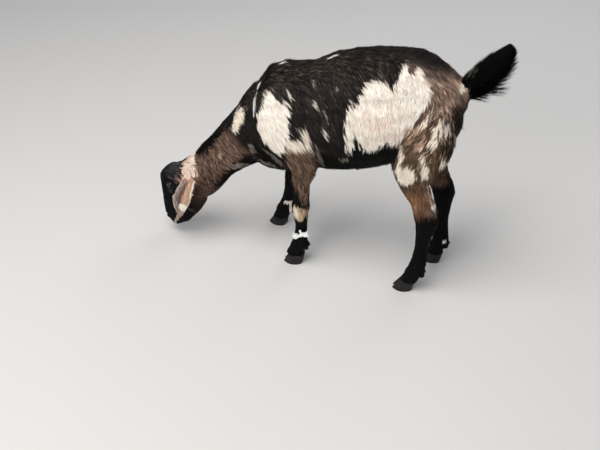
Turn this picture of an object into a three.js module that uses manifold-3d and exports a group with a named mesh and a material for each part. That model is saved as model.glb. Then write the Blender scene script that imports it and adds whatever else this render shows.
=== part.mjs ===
// A young lop-eared spotted goat, standing with its head down to graze, tail raised.
// Millimetres, +Z up. The goat faces -Y and its left side is +X. It is divided into head, neck,
// trunk, tail, ears, eyes and legs by thin cuts, and stands on the soles of its eight claws.
import * as THREE from 'three';
import { mergeVertices } from 'three/addons/utils/BufferGeometryUtils.js';
import Module from 'manifold-3d';

const wasm = await Module();
wasm.setup();

// ---- Driving dimensions ---------------------------------------------------------------------
const gap = 0.35; // clearance left by every cut between two pieces
const coronetHeight = 27; // where hair ends and horn begins, above the floor
const headOffset = 32; // the head is carried a little to the left
const eyeRadius = 12.5;
const earThickness = 5;
const earCup = 8; // how far the ear's edges stand out beyond its midrib
const clawLength = 50;
const clawWidth = 19;
const bandHeight = 13; // the cloth strip tied round the left fore cannon
const bandLevel = 92;
const bandThickness = 3;

// ---- Colours --------------------------------------------------------------------------------
const blackCoat = 0x1a1614;
const brownCoat = 0x6b4a38;
const tanCoat = 0xb08a72;
const darkHorn = 0x2c2826;
const eyeBrown = 0x4a3218;
const whiteCloth = 0xf0f0ee;

const goat = new THREE.Group();

function addMesh(name, geometry, color, roughness) {
  const material = new THREE.MeshStandardMaterial({ color, roughness, metalness: 0 });
  const mesh = new THREE.Mesh(geometry, material);
  mesh.name = name;
  goat.add(mesh);
}

// ---- Solids: a closed geometry to a manifold and back ----------------------------------------
function toSolid(geometry) {
  const bare = geometry.clone();
  bare.deleteAttribute('normal');
  bare.deleteAttribute('uv');
  const merged = mergeVertices(bare, 1e-4);
  const vertProperties = new Float32Array(merged.attributes.position.array);
  const triVerts = new Uint32Array(merged.index.array);
  return new wasm.Manifold(new wasm.Mesh({ numProp: 3, vertProperties, triVerts }));
}

function toGeometry(solid) {
  const mesh = solid.getMesh();
  const geometry = new THREE.BufferGeometry();
  geometry.setAttribute('position', new THREE.BufferAttribute(mesh.vertProperties, 3));
  geometry.setIndex(new THREE.BufferAttribute(mesh.triVerts, 1));
  geometry.computeVertexNormals();
  return geometry;
}

// The box between two corners, as a solid.
function block(low, high) {
  const size = high.map((value, axis) => value - low[axis]);
  const geometry = new THREE.BoxGeometry(...size);
  geometry.translate(...high.map((value, axis) => (value + low[axis]) / 2));
  return toSolid(geometry);
}

// A rounded solid: a sphere stretched to three half sizes, turned about X and Z, and put in place.
function pebble(middle, halves, turn = [0, 0], facets = [7, 5]) {
  const geometry = new THREE.SphereGeometry(1, ...facets);
  geometry.scale(...halves);
  geometry.rotateX(turn[0]);
  geometry.rotateZ(turn[1]);
  geometry.translate(...middle);
  return toSolid(geometry);
}

// Rows of the same count closed into one skin by a point at each end.
function closeRows(points, rowCount, size, flip = false) {
  const index = [];
  const add = (a, b, c) => (flip ? index.push(a, c, b) : index.push(a, b, c));
  const lastRow = (rowCount - 1) * size;
  for (let k = 0; k < size; k += 1) {
    const next = (k + 1) % size;
    add(points.length - 2, k, next);
    add(points.length - 1, lastRow + next, lastRow + k);
    for (let row = 0; row < lastRow; row += size) {
      add(row + k, row + size + k, row + next);
      add(row + next, row + size + k, row + size + next);
    }
  }
  const geometry = new THREE.BufferGeometry().setFromPoints(points);
  geometry.setIndex(index);
  return toSolid(geometry);
}

// ---- Lofts: a closed skin over rings that stand square to the line through their middles ------
// A ring is its middle, its half width to each side, its half depth on the side that faces up or
// forward, and its half depth on the side that faces down or back.
const ring = (x, y, z, wide, front, rear) => [x, y, z, wide, front, rear];

// Smooth values between the rings: a cubic through each pair, with the slope of its neighbours.
function smoothRings(rings, pitch) {
  const along = [0];
  for (let i = 1; i < rings.length; i += 1) {
    const step = Math.hypot(...[0, 1, 2].map((axis) => rings[i][axis] - rings[i - 1][axis]));
    along.push(along[i - 1] + step);
  }
  const slope = (i, channel) => {
    const before = Math.max(i - 1, 0);
    const after = Math.min(i + 1, rings.length - 1);
    return (rings[after][channel] - rings[before][channel]) / (along[after] - along[before]);
  };
  const smoothed = [];
  for (let i = 0; i < rings.length - 1; i += 1) {
    const length = along[i + 1] - along[i];
    const steps = Math.max(1, Math.round(length / pitch));
    for (let k = 0; k < steps; k += 1) {
      const t = k / steps;
      smoothed.push(rings[i].map((value, channel) => {
        const rise = rings[i + 1][channel] - value;
        const a = slope(i, channel) * length - rise;
        const b = rise - slope(i + 1, channel) * length;
        return value + t * rise + t * (1 - t) * ((1 - t) * a + t * b);
      }));
    }
  }
  smoothed.push(rings[rings.length - 1]);
  return smoothed;
}

// pitch is the spacing of the rings, sides the points round each, and the caps are the lengths of
// the rounded ends; blunt is the squareness of the section, 2 for an ellipse. Where facing is given,
// every ring stands square to that direction instead of to the path.
function loft({ rings, facing = null, pitch = 14, sides = 24, startCap = 8, endCap = 8, blunt = 2 }) {
  const path = smoothRings(rings, pitch);
  const middle = path.map((values) => new THREE.Vector3(values[0], values[1], values[2]));
  const tangent = middle.map((point, i) => {
    if (facing) return new THREE.Vector3(...facing);
    const after = middle[Math.min(i + 1, middle.length - 1)];
    return after.clone().sub(middle[Math.max(i - 1, 0)]).normalize();
  });
  const capAngles = [0.5, 1.1];
  const slices = [];
  for (const angle of [...capAngles].reverse()) {
    slices.push({ at: 0, shift: -startCap * Math.sin(angle), scale: Math.cos(angle) });
  }
  path.forEach((values, i) => slices.push({ at: i, shift: 0, scale: 1 }));
  for (const angle of capAngles) {
    slices.push({ at: path.length - 1, shift: endCap * Math.sin(angle), scale: Math.cos(angle) });
  }

  const points = [];
  for (const { at, shift, scale } of slices) {
    const [, , , wide, front, rear] = path[at];
    const across = new THREE.Vector3(1, 0, 0);
    across.addScaledVector(tangent[at], -across.dot(tangent[at])).normalize();
    const forward = new THREE.Vector3().crossVectors(across, tangent[at]);
    for (let k = 0; k < sides; k += 1) {
      const angle = (2 * Math.PI * k) / sides;
      const c = Math.cos(angle);
      const s = Math.sin(angle);
      const reach = (Math.abs(c) ** blunt + Math.abs(s) ** blunt) ** (-1 / blunt);
      const depth = s > 0 ? front : rear;
      const point = middle[at].clone().addScaledVector(tangent[at], shift);
      point.addScaledVector(across, c * reach * wide * scale);
      point.addScaledVector(forward, s * reach * depth * scale);
      points.push(point);
    }
  }
  const last = middle.length - 1;
  points.push(middle[0].clone().addScaledVector(tangent[0], -startCap));
  points.push(middle[last].clone().addScaledVector(tangent[last], endCap));

  return closeRows(points, slices.length, sides);
}

// ---- Trunk, from the breast to the croup: deep barrel, back rising to the loin ---------------
const trunk = loft({
  facing: [0, 1, 0],
  pitch: 36,
  sides: 22,
  startCap: 20,
  endCap: 16,
  rings: [
    ring(0, -214, 352, 56, 128, 108),
    ring(0, -187, 372, 70, 147, 132),
    ring(0, -150, 384, 79, 154, 142),
    ring(0, -79, 400, 88, 148, 137),
    ring(0, -25, 413, 96, 163, 141),
    ring(0, 20, 424, 101, 166, 143),
    ring(0, 72, 436, 101, 165, 140),
    ring(0, 121, 447, 96, 160, 132),
    ring(0, 166, 456, 86, 153, 112),
    ring(0, 197, 461, 79, 140, 95),
    ring(0, 225, 466, 70, 119, 86),
    ring(0, 252, 472, 58, 93, 78),
    ring(0, 278, 485, 40, 62, 66),
  ],
});

// ---- Neck, from inside the skull down to the chest -------------------------------------------
const neck = loft({
  pitch: 26,
  sides: 18,
  rings: [
    ring(30, -392, 178, 36, 46, 64),
    ring(28, -370, 198, 37, 53, 60),
    ring(22, -335, 238, 40, 59, 55),
    ring(14, -303, 270, 44, 61, 61),
    ring(7, -268, 306, 50, 66, 77),
    ring(2, -228, 345, 60, 74, 98),
    ring(1, -205, 362, 64, 89, 112),
    ring(0, -180, 378, 68, 103, 122),
    ring(0, -138, 398, 60, 92, 108),
  ],
});

// ---- Head, from the lips up to the poll ------------------------------------------------------
const skull = loft({
  pitch: 16,
  sides: 20,
  startCap: 9,
  endCap: 14,
  blunt: 2.25,
  rings: [
    ring(headOffset, -456, 34, 20, 25, 18),
    ring(headOffset, -453, 50, 23, 38, 36),
    ring(headOffset, -450, 78, 25, 43, 58),
    ring(headOffset, -446, 110, 31, 45, 73),
    ring(headOffset, -440, 142, 38, 53, 82),
    ring(headOffset, -428, 170, 43, 63, 68),
    ring(headOffset, -408, 190, 41, 44, 58),
    ring(headOffset, -385, 204, 37, 47, 50),
  ],
});

// ---- Legs: each list runs from the coronet up; the joints differ from leg to leg --------------
// A leg is its joint middles, and the half width, half depth to the front and to the rear there.
function limb(joints, girths) {
  const rings = joints.map((joint, i) => ring(...joint, ...girths[i]));
  return loft({ rings, pitch: 26, sides: 12, startCap: 6, endCap: 20 });
}

const foreGirths = [
  [20, 21, 20], // coronet
  [19, 21, 22], // fetlock
  [15, 17, 18], // low cannon
  [15, 17, 18], // cannon
  [19, 21, 20], // below the knee
  [20, 22, 22], // knee
  [18, 20, 22], // low forearm
  [22, 25, 27], // forearm
  [30, 34, 42], // elbow
  [33, 52, 56], // arm
  [32, 60, 55], // point of shoulder
  [24, 44, 46], // shoulder blade
  [14, 28, 32], // top of the blade
];

const hindGirths = [
  [20, 20, 20], // coronet
  [19, 22, 22], // fetlock
  [16, 20, 20], // low cannon
  [15, 19, 19], // cannon
  [18, 22, 22], // below the hock
  [21, 26, 29], // hock
  [19, 29, 27], // point of hock
  [21, 28, 26], // low gaskin
  [28, 36, 37], // gaskin
  [38, 61, 54], // stifle
  [41, 68, 68], // thigh
  [36, 66, 66], // hip
  [28, 50, 48], // croup
];

const legs = {
  fore_left: limb([
    [65, -108, 24], [63, -91, 60], [63, -88, 92], [63, -88, 125], [63, -88, 155], [63, -88, 182],
    [63, -87, 212], [64, -87, 255], [64, -82, 305], [62, -115, 350], [56, -155, 405],
    [45, -168, 455], [34, -166, 492],
  ], foreGirths),
  fore_right: limb([
    [-80, -198, 24], [-78, -181, 60], [-77, -173, 92], [-76, -166, 125], [-74, -159, 155],
    [-72, -153, 181], [-70, -143, 212], [-68, -128, 255], [-65, -103, 306], [-61, -125, 352],
    [-56, -158, 405], [-45, -168, 455], [-34, -166, 492],
  ], foreGirths),
  hind_left: limb([
    [80, 200, 25], [78, 218, 60], [76, 224, 95], [75, 226, 136], [74, 229, 172], [72, 230, 212],
    [71, 227, 238], [70, 211, 268], [68, 194, 303], [65, 193, 345], [58, 205, 400],
    [46, 213, 455], [38, 208, 505],
  ], hindGirths),
  hind_right: limb([
    [-54, 240, 25], [-56, 254, 60], [-58, 252, 95], [-60, 250, 136], [-61, 249, 172],
    [-63, 246, 208], [-63, 243, 232], [-64, 226, 262], [-65, 204, 300], [-64, 198, 345],
    [-58, 205, 400], [-46, 213, 455], [-38, 208, 505],
  ], hindGirths),
};

// ---- Tail, raised, out to the tips of its brush ----------------------------------------------
const tail = loft({
  pitch: 18,
  sides: 12,
  startCap: 6,
  endCap: 12,
  rings: [
    ring(0, 262, 518, 16, 15, 22),
    ring(0, 290, 548, 22, 18, 40),
    ring(0, 316, 576, 26, 22, 44),
    ring(0, 340, 602, 24, 22, 36),
    ring(0, 360, 630, 14, 13, 18),
  ],
});

// ---- Ears: a hanging leaf, hollowed to the outside, from behind and below the eye -------------
// Down the ear: how far it stands out from the head's middle, then y and z of its fore edge and of
// its rear edge. It swings forward over the cheek, narrows early and ends in a long point.
const earRows = [
  [32, -400, 205, -374, 212],
  [44, -406, 200, -368, 209],
  [53, -415, 188, -366, 200],
  [55, -425, 172, -370, 184],
  [57, -431, 160, -374, 172],
  [58, -434, 148, -378, 159],
  [58, -433, 134, -384, 144],
  [58, -430, 120, -391, 129],
  [57, -427, 107, -400, 114],
  [56, -428, 96, -410, 99],
  [55, -433, 84, -421, 83],
  [54, -440, 71, -434, 69],
  [54, -445, 59, -443, 58],
];

function earLeaf(side) {
  const facets = 10;
  const points = [];
  const edges = earRows.map(([out, foreY, foreZ, rearY, rearZ]) => [
    new THREE.Vector3(headOffset + side * out, foreY, foreZ),
    new THREE.Vector3(headOffset + side * out, rearY, rearZ),
  ]);
  const middles = edges.map(([fore, rear]) => fore.clone().add(rear).multiplyScalar(0.5));
  edges.forEach(([fore, rear], i) => {
    const reach = fore.clone().sub(rear).multiplyScalar(0.5);
    const along = middles[Math.min(i + 1, middles.length - 1)].clone();
    along.sub(middles[Math.max(i - 1, 0)]).normalize();
    const outward = new THREE.Vector3().crossVectors(along, reach).normalize();
    if (outward.x * side < 0) outward.negate();
    const fullness = Math.max(0, Math.min(1, reach.length() / 24, (earRows[i][0] - 44) / 9));
    for (let k = 0; k < facets; k += 1) {
      const angle = (2 * Math.PI * k) / facets;
      const v = Math.cos(angle);
      const lift = (Math.sin(angle) * earThickness) / 2;
      const cup = earCup * (v * v - 0.4) * fullness;
      const point = middles[i].clone().addScaledVector(reach, v);
      points.push(point.addScaledVector(outward, lift + cup));
    }
  });
  points.push(middles[0], middles[middles.length - 1]);
  return closeRows(points, earRows.length, facets, side < 0);
}

// ---- Claws: two to a foot, flat on the ground, parted in front ---------------------------------
// A claw's plan is straight on the inner side and full on the outer; it leans back to the coronet.
function clawSolid(middle, turn, side) {
  const levels = [
    { height: 0, stretch: 1, slide: 0 },
    { height: 5, stretch: 0.99, slide: 1 },
    { height: 16, stretch: 0.9, slide: 6 },
    { height: coronetHeight - gap, stretch: 0.74, slide: 12 },
  ];
  const facets = 12;
  const points = [];
  for (const { height, stretch, slide } of levels) {
    for (let k = 0; k < facets; k += 1) {
      const angle = (2 * Math.PI * k) / facets;
      const forward = Math.cos(angle);
      const outer = Math.sin(angle);
      const taper = 1 - 0.42 * Math.max(forward, 0) ** 2;
      const spread = outer > 0 ? 0.78 * clawWidth * outer * taper : 0.22 * clawWidth * outer;
      const x = side * (spread * (0.6 + 0.4 * stretch) + 0.22 * clawWidth + 1.6);
      const y = -(forward * clawLength * stretch) / 2 + slide;
      points.push(new THREE.Vector3(x, y, height));
    }
  }
  const low = new THREE.Vector3(side * 0.4 * clawWidth, 0, 0);
  const high = new THREE.Vector3(side * 0.4 * clawWidth, 12, coronetHeight - gap);
  points.push(low, high);
  const matrix = new THREE.Matrix4().makeRotationZ(turn).setPosition(...middle);
  points.forEach((point) => point.applyMatrix4(matrix));
  return closeRows(points, levels.length, facets, side > 0);
}

// ---- One body of flesh, then its eyes, dewclaws and leg band let into it -----------------------
const sides = { left: 1, right: -1 };
const feet = {
  fore_left: { middle: [66, -109, 0], turn: 0.1, fetlock: [63, -91, 56] },
  fore_right: { middle: [-84, -206, 0], turn: -0.1, fetlock: [-79, -181, 56] },
  hind_left: { middle: [82, 188, 0], turn: 0.1, fetlock: [78, 218, 56] },
  hind_right: { middle: [-52, 234, 0], turn: -0.1, fetlock: [-56, 253, 56] },
};

let flesh = trunk.add(neck).add(skull).add(tail);
for (const leg of Object.values(legs)) flesh = flesh.add(leg);
for (const side of Object.values(sides)) flesh = flesh.add(earLeaf(side));
const floorCut = block([-400, -700, -100], [400, 500, coronetHeight]);
flesh = flesh.subtract(floorCut);

for (const [name, side] of Object.entries(sides)) {
  const socket = [headOffset + side * 30.5, -449, 171];
  const eyeball = pebble(socket, [eyeRadius, eyeRadius, eyeRadius], [0, 0], [12, 8]);
  const hollow = eyeRadius + gap;
  flesh = flesh.subtract(pebble(socket, [hollow, hollow, hollow], [0, 0], [12, 8]));
  addMesh(`eye_${name}`, toGeometry(eyeball), eyeBrown, 0.15);
}

for (const [legName, foot] of Object.entries(feet)) {
  for (const [place, side] of [['inner', -1], ['outer', 1]]) {
    const outward = legName.endsWith('left') ? side : -side;
    const claw = clawSolid(foot.middle, foot.turn, outward);
    addMesh(`claw_${legName}_${place}`, toGeometry(claw), darkHorn, 0.5);
    const [x, y, z] = foot.fetlock;
    const spot = [x + outward * 9, y + 18, z];
    const size = [5, 6, 8];
    flesh = flesh.subtract(pebble(spot, size.map((half) => half + gap), [0.5, 0]));
    const dewclaw = pebble(spot, size, [0.5, 0]);
    addMesh(`dewclaw_${legName}_${place}`, toGeometry(dewclaw), darkHorn, 0.5);
  }
}

// The strip of white cloth on the left fore cannon, with a flat knot of two loops and one short end.
function cannonSleeve(extra, halfHeight) {
  const [x, y] = [63, -88];
  return loft({
    sides: 12,
    startCap: 0.01,
    endCap: 0.01,
    rings: [
      ring(x, y, bandLevel - halfHeight, 15 + extra, 17 + extra, 18 + extra),
      ring(x, y, bandLevel + halfHeight, 15 + extra, 17 + extra, 18 + extra),
    ],
  });
}

const bandSink = 1.2; // how far the strip presses into the hair
const halfBand = bandHeight / 2;
const outerSleeve = cannonSleeve(bandThickness - bandSink, halfBand);
const innerSleeve = cannonSleeve(-bandSink, halfBand + 20);
const groove = cannonSleeve(bandThickness, halfBand + gap).subtract(
  cannonSleeve(-bandSink - gap, halfBand + 30),
);
flesh = flesh.subtract(groove);
const knot = pebble([79, -98, bandLevel - 2], [4, 10, 6.5], [0.35, 0.35])
  .add(pebble([80, -79, bandLevel + 3], [4, 9, 5.5], [-0.2, -0.2]))
  .add(pebble([80, -89, bandLevel + 7], [3.5, 4, 7], [0.2, 0]));
const strip = outerSleeve.subtract(innerSleeve);
const band = strip.add(knot.subtract(cannonSleeve(0.8, 40)));
addMesh('leg_band', toGeometry(band), whiteCloth, 0.8);

// ---- The flesh parted into its lengths ---------------------------------------------------------
// Everything on one side of a plane: a great box with one face on it.
function beyond(point, normal, shift = 0) {
  const reach = 1600;
  const geometry = new THREE.BoxGeometry(reach, reach, reach);
  geometry.translate(0, 0, reach / 2 + shift);
  const turn = new THREE.Quaternion().setFromUnitVectors(
    new THREE.Vector3(0, 0, 1),
    new THREE.Vector3(...normal).normalize(),
  );
  geometry.applyQuaternion(turn);
  geometry.translate(...point);
  return toSolid(geometry);
}

// A length taken off beyond a plane, and what is left with the cut's clearance.
function takeBeyond(solid, point, normal) {
  const piece = solid.intersect(beyond(point, normal, gap));
  return [piece, solid.subtract(beyond(point, normal))];
}

function takeBlock(solid, low, high) {
  const grownLow = low.map((value) => value - gap);
  const grownHigh = high.map((value) => value + gap);
  return [solid.intersect(block(low, high)), solid.subtract(block(grownLow, grownHigh))];
}

const legBlocks = {
  fore_left: { knee: 182, x: [40, 150], upper: [-130, -40, 262], lower: [-200, -20] },
  fore_right: { knee: 181, x: [-150, -44], upper: [-180, -60, 262], lower: [-300, -30] },
  hind_left: { knee: 222, x: [7, 150], upper: [130, 330, 400], lower: [100, 330] },
  hind_right: { knee: 218, x: [-150, -7], upper: [130, 330, 400], lower: [100, 330] },
};
let body = flesh;
for (const [name, { knee, x, upper, lower }] of Object.entries(legBlocks)) {
  let piece;
  [piece, body] = takeBlock(body, [x[0], lower[0], 0], [x[1], lower[1], knee - gap]);
  addMesh(`${name}_lower`, toGeometry(piece), blackCoat, 0.85);
  [piece, body] = takeBlock(body, [x[0], upper[0], knee], [x[1], upper[1], upper[2]]);
  addMesh(`${name}_upper`, toGeometry(piece), brownCoat, 0.9);
}

let head;
let throat;
let brush;
[head, body] = takeBeyond(body, [0, -361, 208], [0, -0.7, -0.72]);
[throat, body] = takeBeyond(body, [0, -240, 330], [0, -0.954, -0.3]);
[brush, body] = takeBeyond(body, [0, 284, 545], [0, 0.9, 0.43]);
for (const [name, side] of Object.entries(sides)) {
  let ear;
  [ear, head] = takeBeyond(head, [headOffset + side * 47, 0, 0], [side, 0, 0]);
  addMesh(`ear_${name}`, toGeometry(ear), tanCoat, 0.7);
}
addMesh('head', toGeometry(head), blackCoat, 0.85);
addMesh('neck', toGeometry(throat), brownCoat, 0.9);
addMesh('trunk', toGeometry(body), blackCoat, 0.9);
addMesh('tail', toGeometry(brush), blackCoat, 0.9);

// ---- The whole goat, moved so that its box stands centred over the origin -----------------------
const box = new THREE.Box3().setFromObject(goat);
const centre = box.getCenter(new THREE.Vector3());
goat.position.set(-centre.x, -centre.y, 0);
goat.updateMatrixWorld(true);

export default goat;
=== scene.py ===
# A young lop-eared spotted goat, head down to graze and tail raised, on a plain studio floor.
# Metres, +Z up; the goat faces -Y and its left side is +X. The file builds it from the skin out:
# studio, skin, eyes, claws, leg strip, markings, coat, tail hair.
import math

import bmesh
import bpy
import numpy as np
from mathutils import Matrix, Vector


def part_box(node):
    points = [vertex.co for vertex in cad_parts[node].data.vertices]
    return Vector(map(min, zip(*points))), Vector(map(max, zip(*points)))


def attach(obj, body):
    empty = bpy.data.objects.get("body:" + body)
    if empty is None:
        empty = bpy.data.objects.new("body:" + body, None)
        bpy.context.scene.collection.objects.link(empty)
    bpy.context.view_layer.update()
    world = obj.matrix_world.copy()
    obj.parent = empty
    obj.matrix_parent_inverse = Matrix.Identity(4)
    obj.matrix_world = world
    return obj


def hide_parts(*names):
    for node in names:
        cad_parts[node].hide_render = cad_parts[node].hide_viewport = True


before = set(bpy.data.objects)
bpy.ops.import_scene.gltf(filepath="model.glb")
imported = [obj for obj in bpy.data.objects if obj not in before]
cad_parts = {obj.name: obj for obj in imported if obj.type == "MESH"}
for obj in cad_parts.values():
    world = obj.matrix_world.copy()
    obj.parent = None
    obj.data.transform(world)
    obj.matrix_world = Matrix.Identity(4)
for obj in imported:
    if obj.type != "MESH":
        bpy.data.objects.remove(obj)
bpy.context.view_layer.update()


# ---- Studio --------------------------------------------------------------------------------------
# A seamless pale floor under a wide soft overhead light, as under a bright overcast sky, with a
# weaker one from the far side. The eye is that of a person standing beside the goat.
class Link:
    """A node socket in Python arithmetic: each operator adds the Math node of its name."""

    def __init__(self, sheet, socket):
        self.sheet = sheet
        self.socket = socket

    def maths(self, operation, *values):
        values = dict(enumerate(values))
        return self.sheet.node("ShaderNodeMath", {"operation": operation}, values)

    def __add__(self, other):
        return self.maths("ADD", self, other)

    def __sub__(self, other):
        return self.maths("SUBTRACT", self, other)

    def __mul__(self, other):
        return self.maths("MULTIPLY", self, other)

    def __lt__(self, other):
        return self.maths("LESS_THAN", self, other)


class Finish:
    """One material and its nodes; steady values sit on the shader's own sockets."""

    def __init__(self, name, steady):
        self.material = bpy.data.materials.new(name)
        self.material.use_nodes = True
        self.tree = self.material.node_tree
        self.shader = self.tree.nodes["Principled BSDF"]
        for socket, value in steady.items():
            self.shader.inputs[socket].default_value = value

    def put(self, socket, value):
        """Links a socket, or gives it a steady value."""
        if isinstance(value, Link):
            self.tree.links.new(value.socket, socket)
        else:
            socket.default_value = value

    def node(self, kind, settings, values, output=0):
        """Adds a node with its own settings and its inputs' values."""
        added = self.tree.nodes.new(kind)
        for name, value in settings.items():
            setattr(added, name, value)
        for name, value in values.items():
            self.put(added.inputs[name], value)
        return Link(self, added.outputs[output])

    def drive(self, socket, link):
        """Puts a link on one of the shader's sockets."""
        self.put(self.shader.inputs[socket], link)

    def place(self):
        """The place on the object, in metres."""
        return self.node("ShaderNodeTexCoord", {}, {}, "Object")

    def noise(self, place, scale, detail):
        """Cloudy noise from 0 to 1."""
        values = {"Vector": place, "Scale": scale, "Detail": detail}
        return self.node("ShaderNodeTexNoise", {}, values)

    def ramp(self, share, stops):
        """Colours by a share; a stop is a share from 0 to 1 and a display colour."""
        colours = self.node("ShaderNodeValToRGB", {}, {"Fac": share})
        elements = colours.socket.node.color_ramp.elements
        for _ in stops[2:]:
            elements.new(0.5)
        for element, (position, pigment) in zip(elements, stops):
            element.position = position
            element.color = steady_colour(*pigment)
        return colours

    def roughen(self, strength, distance, height):
        """Raises and sinks the surface in shading by a height of 0 to 1."""
        values = {"Strength": strength, "Distance": distance, "Height": height}
        self.drive("Normal", self.node("ShaderNodeBump", {}, values))


def tone(red, green, blue):
    """A display colour of 0 to 255 as the linear colour that a shader takes."""
    steps = np.array([red, green, blue]) / 255
    return np.where(steps <= 0.04045, steps / 12.92, ((steps + 0.055) / 1.055) ** 2.4)


def steady_colour(red, green, blue):
    """The same with full opacity, as a socket takes it."""
    return (*tone(red, green, blue), 1.0)


def new_piece(name, points, faces, material, turn_out=False):
    """An object at the origin from an array of points and lists of each face's corners; turn_out
    turns every face of a closed shape outwards."""
    mesh = bpy.data.meshes.new(name)
    mesh.from_pydata(points.tolist(), [], faces)
    mesh.materials.append(material)
    if turn_out:
        work = bmesh.new()
        work.from_mesh(mesh)
        bmesh.ops.recalc_face_normals(work, faces=work.faces)
        work.to_mesh(mesh)
        work.free()
    mesh.polygons.foreach_set("use_smooth", np.ones(len(mesh.polygons), bool))
    mesh.update()
    piece = bpy.data.objects.new(name, mesh)
    bpy.context.scene.collection.objects.link(piece)
    return piece


floor_half = 40.0
floor_steady = {"Base Color": steady_colour(206, 204, 201), "Roughness": 0.9}
floor_finish = Finish("floor_pale", {**floor_steady, "Specular IOR Level": 0.2})
floor_corners = np.array([[-1, -1, 0], [1, -1, 0], [1, 1, 0], [-1, 1, 0]]) * floor_half
floor = new_piece("floor", floor_corners, [[0, 1, 2, 3]], floor_finish.material)


def soft_light(name, place, aim, size, watts, colour):
    """A round area light at a place, turned to face the aim."""
    light = bpy.data.lights.new(name, "AREA")
    light.shape = "DISK"
    light.size = size
    light.energy = watts
    light.color = colour
    holder = bpy.data.objects.new(name, light)
    holder.location = place
    holder.rotation_euler = (Vector(aim) - Vector(place)).to_track_quat("-Z", "Y").to_euler()
    bpy.context.scene.collection.objects.link(holder)


for name, place, aim, size, watts, colour in (
    ("sky", (0.9, -0.5, 2.8), (0, 0, 0.3), 1.9, 62, (1.0, 0.985, 0.96)),
    ("window", (2.6, -0.6, 1.5), (0, 0, 0.35), 1.5, 30, (1.0, 0.98, 0.95)),
    ("far_side", (-2.2, 0.8, 1.8), (0, 0, 0.35), 1.6, 12, (0.95, 0.97, 1.0)),
):
    soft_light(name, place, aim, size, watts, colour)
world = bpy.data.worlds.new("studio")
world.use_nodes = True
backdrop = world.node_tree.nodes["Background"]
backdrop.inputs["Color"].default_value = (0.90, 0.93, 1.0, 1)
backdrop.inputs["Strength"].default_value = 0.43
bpy.context.scene.world = world
bpy.context.scene.view_settings.view_transform = "Standard"

eye_place = (1.6115, 0.5065, 1.3479)
eye_aim = Vector((-0.7552, -0.2630, -0.6004))
eye_roll = math.radians(-0.8)
camera = bpy.data.cameras.new("camera")
camera.lens = 48
camera.sensor_width = 36
camera_object = bpy.data.objects.new("camera", camera)
turn = eye_aim.to_track_quat("-Z", "Y").to_matrix().to_4x4()
camera_object.matrix_world = (
    Matrix.Translation(eye_place) @ turn @ Matrix.Rotation(eye_roll, 4, "Z")
)
bpy.context.scene.collection.objects.link(camera_object)
bpy.context.scene.camera = camera_object


# ---- Skin ----------------------------------------------------------------------------------------
# One hide over head, neck, trunk, legs, ears and tail. The body's lengths are joined and rounded,
# drawn in by the depth of the coat, then given its bones, muscles, folds, eyelids and nostrils.
bare_nodes = ("eye", "claw", "dewclaw", "leg_band")
flesh_nodes = [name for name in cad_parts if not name.startswith(bare_nodes)]
head_x = 0.0328  # the head's middle plane
ear_swell = 0.0032  # thin ears are thickened before the lengths are joined, and thinned after it
body_swell = 0.0005  # and the other lengths grow until they overlap
join_grid = 0.0043


def rows_of(items, field, width, kind=float):
    """One field of a mesh's items as the rows of an array."""
    values = np.zeros(len(items) * width, kind)
    items.foreach_get(field, values)
    return values.reshape(-1, width)


def node_shell(name):
    """A node's corners with its doubles merged, its triangles, and the normals at the corners."""
    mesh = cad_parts[name].data
    corners = np.round(rows_of(mesh.vertices, "co", 3), 6)
    points, where = np.unique(corners, axis=0, return_inverse=True)
    triangles = where.reshape(-1)[rows_of(mesh.loops, "vertex_index", 1, int)].reshape(-1, 3)
    return points, triangles, corner_normals(points, triangles)


def corner_normals(points, triangles):
    """At each corner the sum of its faces' cross products, made one long."""
    a, b, c = points[triangles].transpose(1, 0, 2)
    across = np.cross(b - a, c - a)
    total = np.zeros_like(points)
    for axis in range(3):
        for corner in range(3):
            total[:, axis] += np.bincount(triangles[:, corner], across[:, axis], len(points))
    return total / np.maximum(np.linalg.norm(total, axis=1, keepdims=True), 1e-12)


def soft_step(value, low, high):
    """0 below low, 1 above high, and a smooth rise between."""
    t = np.clip((value - low) / (high - low), 0, 1)
    return t * t * (3 - 2 * t)


def plateau(value, low, low_inner, high_inner, high):
    """1 between the inner values, and a smooth fall to 0 at the outer ones."""
    return soft_step(value, low, low_inner) * (1 - soft_step(value, high_inner, high))


def bell(off, width):
    """1 where off is 0, and a smooth fall on both sides that is about a third at the width."""
    return np.exp(-((off / width) ** 2))


def near_spot(points, centre, radii):
    """A bell that is 1 at the centre and falls off over the three radii."""
    return np.exp(-(((points - np.array(centre)) / np.array(radii)) ** 2).sum(1))


class Hide:
    """A mesh held as arrays: its points, its edges and its faces' triangles."""

    def __init__(self, mesh):
        self.points = rows_of(mesh.vertices, "co", 3)
        self.edges = rows_of(mesh.edges, "vertices", 2, int)
        mesh.calc_loop_triangles()
        self.triangles = rows_of(mesh.loop_triangles, "vertices", 3, int)

    def normals(self):
        return corner_normals(self.points, self.triangles)

    def neighbour_mean(self, values):
        """The mean of the values at the far ends of each point's edges."""
        ends = self.edges.reshape(-1)
        others = self.edges[:, ::-1].reshape(-1)
        count = np.maximum(np.bincount(ends, minlength=len(self.points)), 1)
        sums = [
            np.bincount(ends, values[others, k], len(self.points))
            for k in range(values.shape[1])
        ]
        return np.stack(sums, 1) / count[:, None]

    def relax(self, amount):
        """Moves each point by its amount of the way to its neighbours' mean."""
        pull = self.neighbour_mean(self.points) - self.points
        self.points = self.points + pull * amount[:, None]

    def smooth(self, rounds, amount):
        """Relaxes the points and pushes them a little further back out in each round, so that the
        surface gets rounder and keeps its size; amount scales both for each point."""
        for _ in range(rounds):
            self.relax(0.55 * amount)
            self.relax(-0.57 * amount)


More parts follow.
